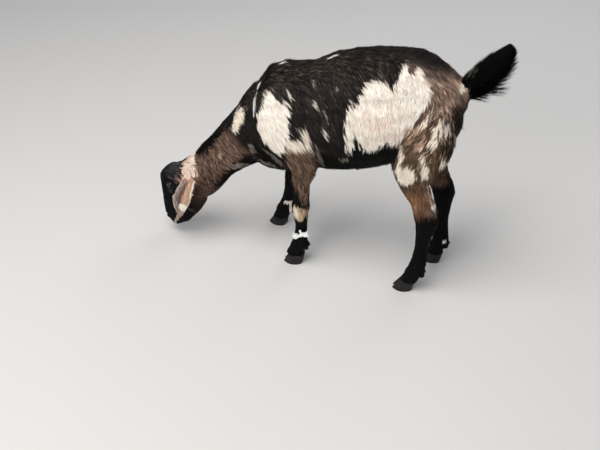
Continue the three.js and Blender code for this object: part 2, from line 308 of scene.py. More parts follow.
hide_points = []
hide_faces = []
corner_count = 0
fillers = [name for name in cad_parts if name.startswith(("eye", "dewclaw", "leg_band"))]
for name in flesh_nodes + fillers:
    points, triangles, normals = node_shell(name)
    hide_points.append(points + normals * (ear_swell if name.startswith("ear") else body_swell))
    hide_faces.append(triangles + corner_count)
    corner_count += len(points)
# pads of flesh close the gaps under the ears' roots and the notch between jaw and neck
pad_points = np.array([[1, 0, 0], [-1, 0, 0], [0, 1, 0], [0, -1, 0], [0, 0, 1], [0, 0, -1]])
pad_faces = np.array(
    [[0, 2, 4], [2, 1, 4], [1, 3, 4], [3, 0, 4], [2, 0, 5], [1, 2, 5], [3, 1, 5], [0, 3, 5]]
)
for middle, radii in (
    ((head_x + 0.0375, -0.335, 0.186), (0.015, 0.022, 0.027)),
    ((head_x - 0.0375, -0.335, 0.186), (0.015, 0.022, 0.027)),
    ((head_x, -0.316, 0.143), (0.034, 0.025, 0.025)),
):
    hide_points.append(np.array(middle) + pad_points * np.array(radii))
    hide_faces.append(pad_faces + corner_count)
    corner_count += len(pad_points)
raw_hide = new_piece(
    "raw_hide",
    np.concatenate(hide_points),
    np.concatenate(hide_faces).tolist(),
    Finish("raw", {}).material,
)
remesh = raw_hide.modifiers.new("one_hide", "REMESH")
remesh.mode = "VOXEL"
remesh.voxel_size = join_grid
evaluated = raw_hide.evaluated_get(bpy.context.evaluated_depsgraph_get())
hide_mesh = bpy.data.meshes.new_from_object(evaluated)
bpy.data.objects.remove(raw_hide)


def on_ears(points):
    """1 on the hanging ears, fading to 0 at their roots."""
    off = np.abs(points[:, 0] - head_x)
    low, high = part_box("ear_left")
    beyond = soft_step(off, low.x - head_x - 0.004, low.x - head_x + 0.004)
    return beyond * (points[:, 1] < high.y + 0.006) * (points[:, 2] < high.z + 0.006)


def on_head(points):
    """1 on the head in front of the line from the poll to the throat, fading to 0 behind it."""
    along = (points - np.array([0, -0.304, 0.208])) @ np.array([0, -0.7, -0.72])
    return soft_step(along, -0.012, 0.012) * (points[:, 1] < -0.24)


def on_tail(points):
    """1 on the tail beyond its root."""
    along = (points - np.array([0, 0.341, 0.545])) @ np.array([0, 0.9, 0.43])
    return soft_step(along, -0.016, 0.010)


def on_legs(points):
    """1 on the legs below elbow and stifle, fading to 0 above."""
    hind = points[:, 1] > 0.1
    top = np.where(hind, 0.36, 0.262)
    spread = np.where(hind, 0.09, 0.05)
    return 1 - soft_step(points[:, 2], top - spread, top + 0.012)


eye_centres = {}
for side_name in ("left", "right"):
    low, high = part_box(f"eye_{side_name}")
    eye_centres[side_name] = np.array((low + high) / 2)
eye_radius = (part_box("eye_left")[1].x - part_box("eye_left")[0].x) / 2


def from_eyes(points):
    """How far each point is from the nearer eye's centre."""
    gaps = [np.linalg.norm(points - centre, axis=1) for centre in eye_centres.values()]
    return np.minimum(*gaps)


def split_edges(mesh, inside):
    """Cuts in half every edge that has both ends inside."""
    work = bmesh.new()
    work.from_mesh(mesh)
    work.verts.ensure_lookup_table()
    chosen = [e for e in work.edges if inside[e.verts[0].index] and inside[e.verts[1].index]]
    bmesh.ops.subdivide_edges(work, edges=chosen, cuts=1, use_grid_fill=True)
    work.to_mesh(mesh)
    work.free()
    return mesh


def to_mesh(mesh, points):
    """Moves a mesh's corners to the given rows."""
    mesh.vertices.foreach_set("co", points.reshape(-1).astype(np.float32))
    mesh.update()


# The facets of the body's lengths are rounded off first, less on thin legs and not on the ears.
hide = Hide(hide_mesh)
ears = on_ears(hide.points)
firm = np.clip(1 - ears, 0, 1) * (1 - 0.4 * on_legs(hide.points)) * (1 - 0.5 * on_head(hide.points))
hide.smooth(28, firm)
hide.smooth(60, ears)
melt = near_spot(hide.points, (head_x, -0.303, 0.143), (0.06, 0.030, 0.030))
melt += 0.4 * near_spot(hide.points, (head_x, -0.328, 0.240), (0.05, 0.024, 0.030))
melt = np.clip(melt, 0, 1) * (1 - ears)
for _ in range(36):
    hide.relax(0.6 * melt)
to_mesh(hide_mesh, hide.points)

# The head gets a finer mesh, and eyelids and muzzle a finer one again.
hide_mesh = split_edges(hide_mesh, on_head(hide.points) > 0.5)
hide = Hide(hide_mesh)
hide.smooth(3, on_head(hide.points))
to_mesh(hide_mesh, hide.points)
lids_reach = 0.021  # from the eye's centre to the end of the lids' folds
lid_edge_reach = 0.0158
muzzle = (hide.points[:, 2] < 0.072) & (hide.points[:, 1] < -0.35)
finer = (from_eyes(hide.points) < lids_reach) | muzzle & (on_ears(hide.points) < 0.1)
hide_mesh = split_edges(hide_mesh, finer)
hide_mesh = split_edges(hide_mesh, from_eyes(rows_of(hide_mesh.vertices, "co", 3)) < lid_edge_reach)
hide = Hide(hide_mesh)


def coat_depth(points):
    """How far the coat's tips stand above the skin: deep on the barrel, thin on face and legs."""
    depth = np.full(len(points), 0.0055)
    depth += (0.0026 - depth) * on_legs(points)
    depth += (0.0016 - depth) * on_head(points)
    depth += (0.0135 - depth) * on_tail(points)
    return depth


ears = on_ears(hide.points)[:, None]
sink = coat_depth(hide.points)[:, None] * (1 - ears) + np.array([0.0034, 0.0027, 0.0027]) * ears
hide.points = hide.points - hide.normals() * sink
hide.smooth(2, 1 - 0.9 * on_ears(hide.points))

# Bones and muscles: a bell of the given height and three radii raises or sinks the skin.
# Those listed for the left side are repeated on the right, about the plane given with them.
body_forms = [
    # centre, radii, height
    ((0.078, -0.090, 0.470), (0.030, 0.018, 0.060), 0.0030),  # shoulder blade's ridge
    ((0.074, -0.125, 0.350), (0.030, 0.028, 0.030), 0.0040),  # point of the shoulder
    ((0.086, -0.045, 0.300), (0.030, 0.022, 0.030), 0.0030),  # elbow
    ((0.084, -0.010, 0.420), (0.040, 0.016, 0.060), -0.0030),  # hollow behind the shoulder
    ((0.070, 0.205, 0.552), (0.026, 0.020, 0.018), 0.0050),  # hip bone
    ((0.045, 0.325, 0.500), (0.020, 0.016, 0.022), 0.0035),  # pin bone
    ((0.080, 0.165, 0.500), (0.030, 0.030, 0.026), -0.0050),  # hollow of the flank
    ((0.092, 0.225, 0.380), (0.030, 0.030, 0.030), 0.0030),  # stifle
    ((0.080, 0.300, 0.440), (0.030, 0.026, 0.050), 0.0030),  # thigh muscle
    ((0.000, 0.352, 0.466), (0.040, 0.030, 0.032), -0.0065),  # hollow below the tail
    ((0.000, 0.346, 0.430), (0.034, 0.026, 0.026), -0.0055),  # hollow between the thighs
    ((0.042, 0.338, 0.474), (0.022, 0.024, 0.026), -0.0055),  # seat below the pin bone
    ((0.082, 0.296, 0.284), (0.022, 0.014, 0.034), 0.0065),  # tendon above the hock
    ((0.050, 0.266, 0.232), (0.026, 0.014, 0.038), 0.0055),  # inner side of the hock
    ((0.060, -0.150, 0.390), (0.020, 0.018, 0.050), -0.0030),  # groove before the shoulder
]


def raise_forms(points, forms, middle):
    """The sum of all bells on both sides of the middle plane."""
    total = np.zeros(len(points))
    for (x, y, z), radii, height in forms:
        for side in (1, -1):
            total += height * near_spot(points, (middle + side * x, y, z), radii)
    return total


rib_pitch, rib_height = 0.026, 0.0007
y_at, z_at = hide.points[:, 1], hide.points[:, 2]
rib_band = plateau(y_at, -0.02, 0.03, 0.13, 0.19) * plateau(z_at, 0.30, 0.36, 0.50, 0.56)
ribs = rib_height * np.sin((y_at + 0.35 * (z_at - 0.4)) * 2 * np.pi / rib_pitch) * rib_band

head_forms = [
    # the x here is measured from the head's middle
    ((0.000, -0.400, 0.230), (0.060, 0.028, 0.026), -0.0045),  # flat of the forehead
    ((0.000, -0.418, 0.221), (0.050, 0.020, 0.020), -0.0050),  # slope down to the brow
    ((0.000, -0.434, 0.186), (0.024, 0.018, 0.022), 0.0012),  # top of the nose
    ((0.029, -0.410, 0.193), (0.013, 0.017, 0.010), 0.0055),  # brow over the eye
    ((0.037, -0.366, 0.187), (0.010, 0.014, 0.007), 0.0030),  # arch behind the eye
    ((0.034, -0.358, 0.212), (0.012, 0.014, 0.010), -0.0035),  # temple
    ((0.037, -0.388, 0.148), (0.010, 0.010, 0.009), 0.0025),  # bone below the eye
    ((0.034, -0.374, 0.118), (0.010, 0.008, 0.022), 0.0022),  # crest of the cheek
    ((0.036, -0.342, 0.132), (0.018, 0.024, 0.034), 0.0038),  # cheek
    ((0.028, -0.402, 0.110), (0.012, 0.014, 0.028), -0.0050),  # hollow beside the nose
    ((0.000, -0.440, 0.120), (0.010, 0.016, 0.050), 0.0022),  # bridge of the nose
    ((0.017, -0.426, 0.056), (0.007, 0.012, 0.010), 0.0032),  # wing of the nostril
    ((0.021, -0.398, 0.043), (0.009, 0.013, 0.012), 0.0028),  # upper lip
    ((0.012, -0.366, 0.042), (0.012, 0.010, 0.012), 0.0030),  # chin
    ((0.020, -0.352, 0.085), (0.014, 0.014, 0.026), -0.0030),  # jaw's hollow
    ((0.014, -0.376, 0.240), (0.008, 0.010, 0.010), 0.0025),  # horn knobs under the hair
]
head_share = on_head(hide.points)
relief = raise_forms(hide.points, body_forms, 0.0) * (1 - head_share)
relief += raise_forms(hide.points, head_forms, head_x) * head_share * (1 - on_ears(hide.points))
relief += ribs

# Each leg is fuller or thinner by rings, a bell of height each, placed by its lower length's box.
fetlock_z = 0.060
height = hide.points[:, 2]
legs = ("fore_left", "fore_right", "hind_left", "hind_right")
for leg in legs:
    low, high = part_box(f"{leg}_lower")
    near_leg = (hide.points[:, 0] > low.x - 0.02) & (hide.points[:, 0] < high.x + 0.02)
    near_leg &= (hide.points[:, 1] > low.y - 0.04) & (hide.points[:, 1] < high.y + 0.06)
    rings = 0.0
    for ring_z, spread, swell in (
        (high.z, 0.016, 0.0016),  # knee or hock
        (fetlock_z, 0.010, 0.0016),
        (0.041, 0.007, -0.0012),  # pastern
        (0.028, 0.004, 0.0012),  # coronet
        (0.5 * (high.z + fetlock_z), 0.034, -0.0012),  # cannon
    ):
        rings = rings + bell(height - ring_z, spread) * swell
    relief += rings * near_leg * (height < 0.27)
hide.points = hide.points + hide.normals() * relief[:, None]

# Eyelids: inside an almond opening the skin sinks behind the eyeball; round it the skin lies on
# the ball as a thick rim, and a fold runs above the upper lid.
lid_lean = math.radians(35)
lid_half_length, lid_half_height = 0.0115, 0.0054
lid_rim = 0.0009


def eye_frame(side_name):
    """The eye's centre and its outward, lengthwise and upward directions."""
    side = 1 if side_name == "left" else -1
    outward = np.array([side * 0.93, -0.33, 0.10])
    outward /= np.linalg.norm(outward)
    lengthwise = np.array([0, -math.sin(lid_lean), -math.cos(lid_lean)])
    lengthwise -= outward * (lengthwise @ outward)
    lengthwise /= np.linalg.norm(lengthwise)
    upward = np.cross(outward, lengthwise) * -side
    return eye_centres[side_name], outward, lengthwise, upward


def almond(u, v):
    """Below 1 inside the lids' opening: two arcs that meet in a point at each corner of the eye."""
    along = u / lid_half_length
    rise = np.where(v > 0, lid_half_height, lid_half_height * 0.85)
    arch = np.clip(1 - along**2, 1e-4, 1) ** 0.75
    return np.where(np.abs(along) < 1, np.abs(v) / (rise * arch), 9.0)


for side_name in eye_centres:
    centre, outward, lengthwise, upward = eye_frame(side_name)
    offset = hide.points - centre
    distance = np.linalg.norm(offset, axis=1)
    facing = offset @ outward / distance
    direction = offset / distance[:, None]
    u = direction @ lengthwise * eye_radius
    v = direction @ upward * eye_radius
    opening = almond(u, v)
    around = (distance < lids_reach) & (facing > 0.2)
    # points near the edge of the opening slide onto it, so that the lids' edges run clean
    on_edge = around & (np.abs(opening - 1) < 0.16)
    v = np.where(on_edge, v / np.maximum(opening, 0.5), v)
    front = np.sqrt(np.clip(1 - (u**2 + v**2) / eye_radius**2, 0.02, 1))
    slid = (u[:, None] * lengthwise + v[:, None] * upward) / eye_radius + front[:, None] * outward
    direction = np.where(on_edge[:, None], slid, direction)
    opening = np.where(on_edge, 1.0, opening)
    held = eye_radius + lid_rim + 0.0013 * bell(opening - 1.35, 0.22)
    held -= 0.0014 * bell(opening - 2.0, 0.25) * (v > 0)
    held -= 0.0007 * bell(opening - 2.1, 0.30) * (v <= 0)
    grip = around * (1 - soft_step(distance, 0.0165, 0.0205)) * soft_step(facing, 0.2, 0.45)
    inside = (opening < 0.9) & around
    lids = np.maximum(distance, held)
    moved = np.where(inside, eye_radius - 0.0035, distance + (lids - distance) * grip)
    hide.points = np.where(around[:, None], centre + direction * moved[:, None], hide.points)

# Nostrils, mouth line and the split of the upper lip are pressed in as narrow grooves.
x_off = np.abs(hide.points[:, 0] - head_x)
y_at, z_at = hide.points[:, 1], hide.points[:, 2]
snout = on_head(hide.points) * (1 - on_ears(hide.points)) * (z_at < 0.09)
slit_along = (z_at - 0.054) * 0.75 + (x_off - 0.0125) * 0.66
slit_across = (z_at - 0.054) * 0.66 - (x_off - 0.0125) * 0.75 + 18 * slit_along**2
nose_front = (y_at < -0.398) * (1 - soft_step(x_off, 0.0175, 0.0215))
nostril = bell(slit_along, 0.0078) * bell(slit_across, 0.0028) * nose_front
nostril_rim = bell(slit_along, 0.0090) * bell(slit_across + 0.0055, 0.0030)
mouth_y = -0.402 + 0.62 * (z_at - 0.028) + 3.0 * (z_at - 0.028) ** 2
mouth_end = 1 - soft_step(z_at, 0.060, 0.072)
mouth = bell(y_at - mouth_y, 0.0019) * mouth_end
lips = bell(np.abs(y_at - mouth_y) - 0.0050, 0.0028) * mouth_end
split = bell(x_off, 0.0014) * (y_at < -0.400) * (1 - soft_step(z_at, 0.046, 0.056))
press = 0.0062 * nostril - 0.0016 * nostril_rim * nose_front
press += 0.0034 * mouth - 0.0012 * lips + 0.0022 * split
hide.points = hide.points - hide.normals() * (press * snout)[:, None]

# The ear is cupped: its fore third flares outward before a fold, and the rest bulges.
ear_heights = [0.060, 0.105, 0.150, 0.200]  # heights down the ear, and its edges there
ear_front = [-0.387, -0.368, -0.375, -0.348]
ear_rear = [-0.384, -0.350, -0.325, -0.311]
hanging = on_ears(hide.points) * (1 - soft_step(z_at, 0.180, 0.200)) * soft_step(z_at, 0.085, 0.11)
fore_edge = np.interp(z_at, ear_heights, ear_front)
over_ear = (y_at - fore_edge) / (np.interp(z_at, ear_heights, ear_rear) - fore_edge)
cup = 0.0034 * bell(over_ear - 0.05, 0.17)
cup -= 0.0030 * bell(over_ear - 0.40, 0.10) * soft_step(z_at, 0.115, 0.14)
cup += 0.0016 * bell(over_ear - 0.72, 0.16)
hide.points[:, 0] += np.sign(hide.points[:, 0] - head_x) * cup * hanging
to_mesh(hide_mesh, hide.points)


# ---- Eyes ----------------------------------------------------------------------------------------
# Glass eyes let in behind the lids: an amber-brown iris with a level slit pupil, a dark rim, and
# a clear front that stands a little proud of the ball.
eye_finish = Finish("eye", {"Roughness": 0.10, "Specular IOR Level": 0.35})
eye_chart = eye_finish.node("ShaderNodeUVMap", {"uv_map": "iris"}, {})
eye_across = eye_finish.node("ShaderNodeSeparateXYZ", {}, {"Vector": eye_chart})
eye_up = Link(eye_finish, eye_across.socket.node.outputs["Y"])
eye_radial = eye_finish.node(
    "ShaderNodeVectorMath", {"operation": "LENGTH"}, {0: eye_chart}, "Value"
)
rays = eye_finish.noise(eye_chart, 9.0, 4.0)
iris = eye_finish.ramp(
    eye_radial * 1.25 + (rays - 0.5) * 0.25,
    [(0.0, (48, 35, 22)), (0.55, (58, 41, 25)), (0.86, (26, 19, 14)), (1.0, (12, 10, 9))],
)
pupil_share, pupil_narrowing = 0.165, 0.36
pupil_shape = eye_across.maths("ABSOLUTE", eye_across) * pupil_narrowing
pupil_shape = pupil_shape + eye_up.maths("ABSOLUTE", eye_up)
eye_colour = eye_finish.node(
    "ShaderNodeMix",
    {"data_type": "RGBA"},
    {0: pupil_shape < pupil_share, 6: iris, 7: steady_colour(6, 6, 8)},
    2,
)
eye_finish.drive("Base Color", eye_colour)


def grid_faces(rows, columns):
    """Quads between the rows of a grid whose columns close on themselves."""
    row, column = np.meshgrid(np.arange(rows - 1), np.arange(columns), indexing="ij")
    low = row * columns + column
    following = row * columns + (column + 1) % columns
    quads = np.stack([low, following, following + columns, low + columns], -1)
    return quads.reshape(-1, 4)


def tube_faces(rows, columns):
    """The quads of such a grid and one face over each end."""
    ends = [list(range(columns))[::-1], list(range((rows - 1) * columns, rows * columns))]
    return grid_faces(rows, columns).tolist() + ends


def full_turn(steps):
    """Angles all the way round."""
    return np.linspace(0, 2 * np.pi, steps, endpoint=False)


def rows_and_turns(rows, columns):
    """A grid of the given row values and a full turn, each as an array."""
    return np.meshgrid(rows, full_turn(columns), indexing="ij")


for side_name in eye_centres:
    side = 1 if side_name == "left" else -1
    centre, outward, lengthwise, upward = eye_frame(side_name)
    level = np.array([0.0, -1.0, -0.25])
    level -= outward * (level @ outward)
    level /= np.linalg.norm(level)
    rise = np.cross(outward, level)
    polar, turn = rows_and_turns(np.linspace(0.002, math.pi - 0.002, 33), 48)
    # a ball with a clear front: the radius gains a small bell about the outward axis
    radius = (eye_radius - 0.0003) * (1 + 0.05 * bell(polar, 0.42))
    across_ball = [np.sin(polar) * np.cos(turn), np.sin(polar) * np.sin(turn), np.cos(polar)]
    local = np.stack(across_ball, -1)
    ball = centre + radius[..., None] * (
        local[..., :1] * level + local[..., 1:2] * rise + local[..., 2:] * outward
    )
    faces = tube_faces(*polar.shape)
    eyeball = new_piece(
        f"eyeball_{side_name}", ball.reshape(-1, 3), faces, eye_finish.material, True
    )
    # the iris's chart: the front half by its own place, and the back half all rim
    chart = np.where(polar[..., None] < math.pi / 2, local[..., :2], 1.0) * 1.35
    chart = chart.reshape(-1, 2)
    loops = rows_of(eyeball.data.loops, "vertex_index", 1, int)[:, 0]
    layer = eyeball.data.uv_layers.new(name="iris")
    layer.data.foreach_set("uv", chart[loops].reshape(-1))
    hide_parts(f"eye_{side_name}")
    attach(eyeball, "root")


# ---- Claws and dewclaws --------------------------------------------------------------------------
# Dark horn, two main claws and two small ones behind to each foot. A claw is flat below, straight
# on its inner side, full on its outer side, and leans back as it rises to the hairline.
horn_finish = Finish("horn", {"Roughness": 0.50, "Specular IOR Level": 0.22})
horn_place = horn_finish.place()
horn_stretch = {"Vector": horn_place, "Scale": (60, 60, 900)}
horn_rings = horn_finish.noise(horn_finish.node("ShaderNodeMapping", {}, horn_stretch), 1.0, 3.0)
horn_mottle = horn_finish.noise(horn_place, 90.0, 2.0) * 0.6 + horn_rings * 0.4
horn_colour = horn_finish.ramp(horn_mottle, [(0.3, (16, 15, 15)), (0.75, (42, 39, 38))])
horn_finish.drive("Base Color", horn_colour)
horn_finish.roughen(0.5, 0.0008, horn_rings)


def fit_to_box(points, node, inset):
    """Slides and scales the points so that they fill a node's box, less a small inset."""
    low, high = (np.array(corner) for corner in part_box(node))
    low[:2], high[:2] = low[:2] + inset, high[:2] - inset
    own_low, own_high = points.min(0), points.max(0)
    return low + (points - own_low) / (own_high - own_low) * (high - low)


def horn_piece(name, node, rows):
    """Rows of points, closed at both ends and fitted to a node's box, that stand in for it."""
    points = fit_to_box(rows.reshape(-1, 3), node, box_inset)
    horn = new_piece(name, points, tube_faces(*rows.shape[:2]), horn_finish.material, True)
    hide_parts(node)
    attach(horn, "root")


def turn_flat(angle):
    """The matrix that turns rows of points about the upright."""
    c, s = math.cos(angle), math.sin(angle)
    return np.array([[c, s, 0], [-s, c, 0], [0, 0, 1]])


box_inset = 0.0002
claw_size = np.array([0.019, 0.050, 0.0266])
claw_levels = np.concatenate([[0.0, 0.0, 0.015], np.linspace(0.06, 1, 14), [1.0]])
for leg in legs:
    for place, inward in (("inner", 1), ("outer", -1)):
        side = inward if leg.endswith("right") else -inward
        level, turn = rows_and_turns(claw_levels, 56)
        forward, outer = np.cos(turn), np.sin(turn)
        taper = 1 - 0.42 * np.maximum(forward, 0) ** 2
        spread = np.where(outer > 0, 0.78 * outer * taper, 0.22 * outer)
        shrink = 1 - 0.26 * level**1.2
        shrink[[0, 1, -1]] *= np.array([[0.2], [0.97], [0.2]])  # the sole's and the top's edges
        ridges = 1 + 0.010 * np.sin(level * 26 + 0.8 * forward)
        across = side * (spread * ridges * (0.6 + 0.4 * shrink))
        back = -forward * 0.5 * shrink * ridges + 0.24 * level**1.1
        claw = np.stack([across, back, level], -1) * claw_size
        lean = 0.1 if leg.endswith("left") else -0.1
        horn_piece(f"horn_{leg}_{place}", f"claw_{leg}_{place}", claw @ turn_flat(lean))
        # the dewclaw is a blunt cone that points down and back
        polar, turn = rows_and_turns(np.linspace(0.05, math.pi - 0.05, 14), 28)
        girth = np.sin(polar) * (1 - 0.35 * np.cos(polar))
        back = girth * np.sin(turn) - 0.35 * np.cos(polar)
        dewclaw = np.stack([girth * np.cos(turn), back, np.cos(polar)], -1)
        horn_piece(f"horn_dew_{leg}_{place}", f"dewclaw_{leg}_{place}", dewclaw)


# ---- Leg strip -----------------------------------------------------------------------------------
# A strip torn from white cotton, tied round the left fore cannon: it slants up to the rear, and its
# knot sits on the outer side with two flat loops and one short end. All of it is cloth.
cloth_finish = Finish("white_cotton", {"Roughness": 0.85, "Specular IOR Level": 0.2})
cloth_place = cloth_finish.place()
warp = cloth_finish.node(
    "ShaderNodeTexWave", {"bands_direction": "Z"}, {"Vector": cloth_place, "Scale": 380.0}
)
weft = cloth_finish.node(
    "ShaderNodeTexWave", {"bands_direction": "DIAGONAL"}, {"Vector": cloth_place, "Scale": 260.0}
)
grime = cloth_finish.noise(cloth_place, 140.0, 3.0)
cloth_colour = cloth_finish.ramp(grime, [(0.25, (214, 214, 212)), (0.6, (244, 244, 243))])
cloth_finish.drive("Base Color", cloth_colour)
cloth_finish.roughen(0.4, 0.0003, warp * 0.5 + weft * 0.5)
cannon_x, cannon_y = 0.06384, -0.0307
strip_level, strip_slant = 0.0945, 0.27
strip_radius = 0.0156
half_thick = 0.0012


def ring_faces(rows, columns):
    """Quads of a grid that closes on itself both ways."""
    row, column = np.meshgrid(np.arange(rows), np.arange(columns), indexing="ij")
    here, onward = row * columns, (row + 1) % rows * columns
    beside = (column + 1) % columns
    quads = [here + column, onward + column, onward + beside, here + beside]
    return np.stack(quads, -1).reshape(-1, 4)


# the ring: a flat oval section carried round the leg, its height pinched towards the knot and its
# face broken by shallow creases
ring_grid = (120, 20)
around, section = rows_and_turns(full_turn(ring_grid[0]), ring_grid[1])
pinch = bell(np.minimum(around, 2 * np.pi - around), 0.35)
half_height = 0.0048 * (1 - 0.30 * pinch)
crease = 0.00035 * np.sin(9 * around + 2.5 * np.sin(section)) + 0.0003 * np.sin(23 * around)
out_by = strip_radius + half_thick * np.cos(section) + crease * (np.cos(section) > 0)
up_by = half_height * np.sign(np.sin(section)) * np.abs(np.sin(section)) ** 0.6
ring_y = cannon_y + np.sin(around) * (out_by + 0.0018)
ring_z = strip_level + up_by + strip_slant * (ring_y - cannon_y) + 0.0006 * np.sin(5 * around)
strip = np.stack([cannon_x + np.cos(around) * out_by, ring_y, ring_z], -1)
cloth_points = [strip.reshape(-1, 3)]
cloth_faces = ring_faces(*ring_grid).tolist()


def add_cloth(shape, faces, middle, slant, swing):
    """Adds a part, set out as x outward, y along and z up, to the cloth: it is tilted in the side
    plane by slant, turned about the upright by swing, and moved to the middle."""
    c, s = math.cos(slant), math.sin(slant)
    tilted = shape @ np.array([[1, 0, 0], [0, c, s], [0, -s, c]])
    first = sum(len(part) for part in cloth_points)
    cloth_points.append((tilted @ turn_flat(swing)).reshape(-1, 3) + np.array(middle))
    cloth_faces.extend([[first + corner for corner in face] for face in faces])


def cloth_loop(half_long, half_high, half_deep, away):
    """A band bent back on itself: an oval path whose far end is on the away side, with a thin flat
    section that is narrower at the knot and waves across its width."""
    path, section = rows_and_turns(full_turn(loop_grid[0]), loop_grid[1])
    reach = np.cos(path)
    half_wide = half_high * (0.62 + 0.38 * soft_step(away * reach, -1.0, 0.5))
    share = np.sign(np.cos(section)) * np.abs(np.cos(section)) ** 0.5
    outward = np.stack([np.sin(path) / half_deep, reach / half_long], -1)
    outward /= np.linalg.norm(outward, axis=-1, keepdims=True)
    wave = np.sin(4.2 * share + 3 * path) * np.abs(np.sin(path))
    off = 0.0006 * np.sin(section) + 0.0007 * wave
    deep = half_deep * np.sin(path) + outward[..., 0] * off
    along = half_long * reach + outward[..., 1] * off
    return np.stack([deep, along, half_wide * share + 0.0008 * np.sin(2 * path)], -1)


def cloth_pad(half_long, half_high, half_deep):
    """A flattened pad with squared ends, creased lengthwise where the knot gathers it."""
    polar, turn = rows_and_turns(np.linspace(0.03, math.pi - 0.03, pad_grid[0]), pad_grid[1])
    along = np.cos(polar)
    girth = np.sin(polar) ** 0.5
    fold = 1 + 0.16 * np.sin(3 * turn + 2 * along) * (1 - np.abs(along))
    deep = girth * np.cos(turn) * half_deep * fold
    return np.stack([deep, along * half_long, girth * np.sin(turn) * half_high * fold], -1)


loop_grid, pad_grid = (44, 16), (17, 26)
for middle, half_sizes, away, slant, swing in (
    # middle; half length, height and depth; the side of the far end, slant, turn outward
    ((0.0821, -0.0345, 0.0955), (0.0108, 0.0066, 0.0030), -1, 0.25, 0.28),
    ((0.0808, -0.0140, 0.1030), (0.0098, 0.0060, 0.0029), 1, 0.22, -0.25),
):
    loop = cloth_loop(*half_sizes, away)
    add_cloth(loop, ring_faces(*loop_grid).tolist(), middle, slant, swing)
for middle, half_sizes, slant, swing in (
    # the knot and the short end: middle; half length, height and depth; slant, turn outward
    ((0.0824, -0.0243, 0.0993), (0.0038, 0.0052, 0.0030), 0.0, 0.0),
    ((0.0808, -0.0262, 0.1092), (0.0030, 0.0062, 0.0011), 0.25, 0.1),
):
    add_cloth(cloth_pad(*half_sizes), tube_faces(*pad_grid), middle, slant, swing)
strip_piece = new_piece(
    "tied_strip", np.concatenate(cloth_points), cloth_faces, cloth_finish.material, True
)
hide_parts("leg_band")
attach(strip_piece, "root")


# ---- Lie of the hair -----------------------------------------------------------------------------
# The hair runs back from the nose over face and neck, back and down over shoulder, barrel and rump,
# forward and down on the thigh, and straight down ears and legs.
lie_guides = [
    # place, the way the hair lies, for the left side; the right side is its mirror image
    ((0.033, -0.430, 0.170), (0.0, -0.05, -1.0)),
    ((0.033, -0.434, 0.100), (0.0, -0.1, -1.0)),
    ((0.050, -0.415, 0.200), (0.3, 0.5, 0.3)),
    ((0.070, -0.380, 0.140), (0.2, 0.7, -0.7)),
    ((0.060, -0.340, 0.110), (0.0, 0.8, -0.5)),
    ((0.055, -0.400, 0.070), (0.2, 0.6, -0.8)),
    ((0.033, -0.390, 0.240), (0.0, 1.0, 0.2)),
    ((0.033, -0.345, 0.250), (0.0, 1.0, 0.4)),
    ((0.060, -0.310, 0.215), (0.1, 0.40, -0.90)),
    ((0.050, -0.270, 0.260), (0.1, 0.50, -0.85)),
    ((0.055, -0.285, 0.190), (0.1, 0.35, -0.90)),
    ((0.010, -0.280, 0.320), (0.0, 0.8, 0.5)),
    ((0.050, -0.220, 0.330), (0.1, 0.7, -0.7)),
    ((0.010, -0.220, 0.390), (0.0, 0.8, 0.5)),
    ((0.020, -0.240, 0.230), (0.0, 0.9, 0.1)),
    ((0.060, -0.170, 0.380), (0.1, 0.7, -0.7)),
    ((0.010, -0.150, 0.500), (0.1, 1.0, 0.4)),
    ((0.010, -0.170, 0.280), (0.0, 0.9, -0.2)),
    ((0.070, -0.100, 0.450), (0.1, 0.7, -0.8)),
    ((0.085, -0.080, 0.350), (0.0, 0.65, -0.8)),
    ((0.010, -0.050, 0.550), (0.3, 1.0, 0.1)),
    ((0.080, 0.000, 0.480), (0.1, 0.8, -0.7)),
    ((0.095, 0.020, 0.400), (0.0, 0.6, -0.8)),
    ((0.010, 0.100, 0.590), (0.4, 1.0, 0.0)),
    ((0.070, 0.090, 0.540), (0.3, 0.8, -0.6)),
    ((0.095, 0.110, 0.440), (0.0, 0.25, -1.0)),
    ((0.090, 0.120, 0.370), (0.0, 0.2, -1.0)),
    ((0.060, 0.050, 0.300), (-0.5, 0.7, -0.4)),
    ((0.000, 0.050, 0.280), (0.0, 1.0, 0.0)),
    ((0.060, 0.190, 0.560), (0.3, 0.45, -0.9)),
    ((0.085, 0.180, 0.450), (0.0, 0.0, -1.0)),
    ((0.085, 0.190, 0.390), (0.0, -0.3, -1.0)),
    ((0.010, 0.220, 0.600), (0.2, 1.0, -0.2)),
    ((0.050, 0.270, 0.560), (0.3, 0.7, -0.7)),
    ((0.075, 0.260, 0.490), (0.0, -0.35, -1.0)),
    ((0.085, 0.260, 0.420), (0.0, -0.55, -1.0)),
    ((0.095, 0.240, 0.360), (0.0, -0.2, -1.0)),
    ((0.030, 0.320, 0.530), (0.2, 0.5, -0.9)),
    ((0.050, 0.325, 0.440), (0.0, 0.0, -1.0)),
    ((0.010, 0.330, 0.470), (0.0, 0.1, -1.0)),
    ((0.085, 0.260, 0.290), (0.0, 0.25, -1.0)),
    ((0.080, 0.280, 0.180), (0.0, 0.1, -1.0)),
    ((0.080, 0.270, 0.060), (0.0, -0.4, -1.0)),
    ((0.080, -0.030, 0.250), (0.0, 0.15, -1.0)),
    ((0.080, -0.030, 0.120), (0.0, 0.0, -1.0)),
    ((0.080, -0.040, 0.050), (0.0, -0.4, -1.0)),
    ((0.070, -0.080, 0.240), (0.0, -0.3, -1.0)),
    ((0.075, -0.120, 0.080), (0.0, -0.3, -1.0)),
]


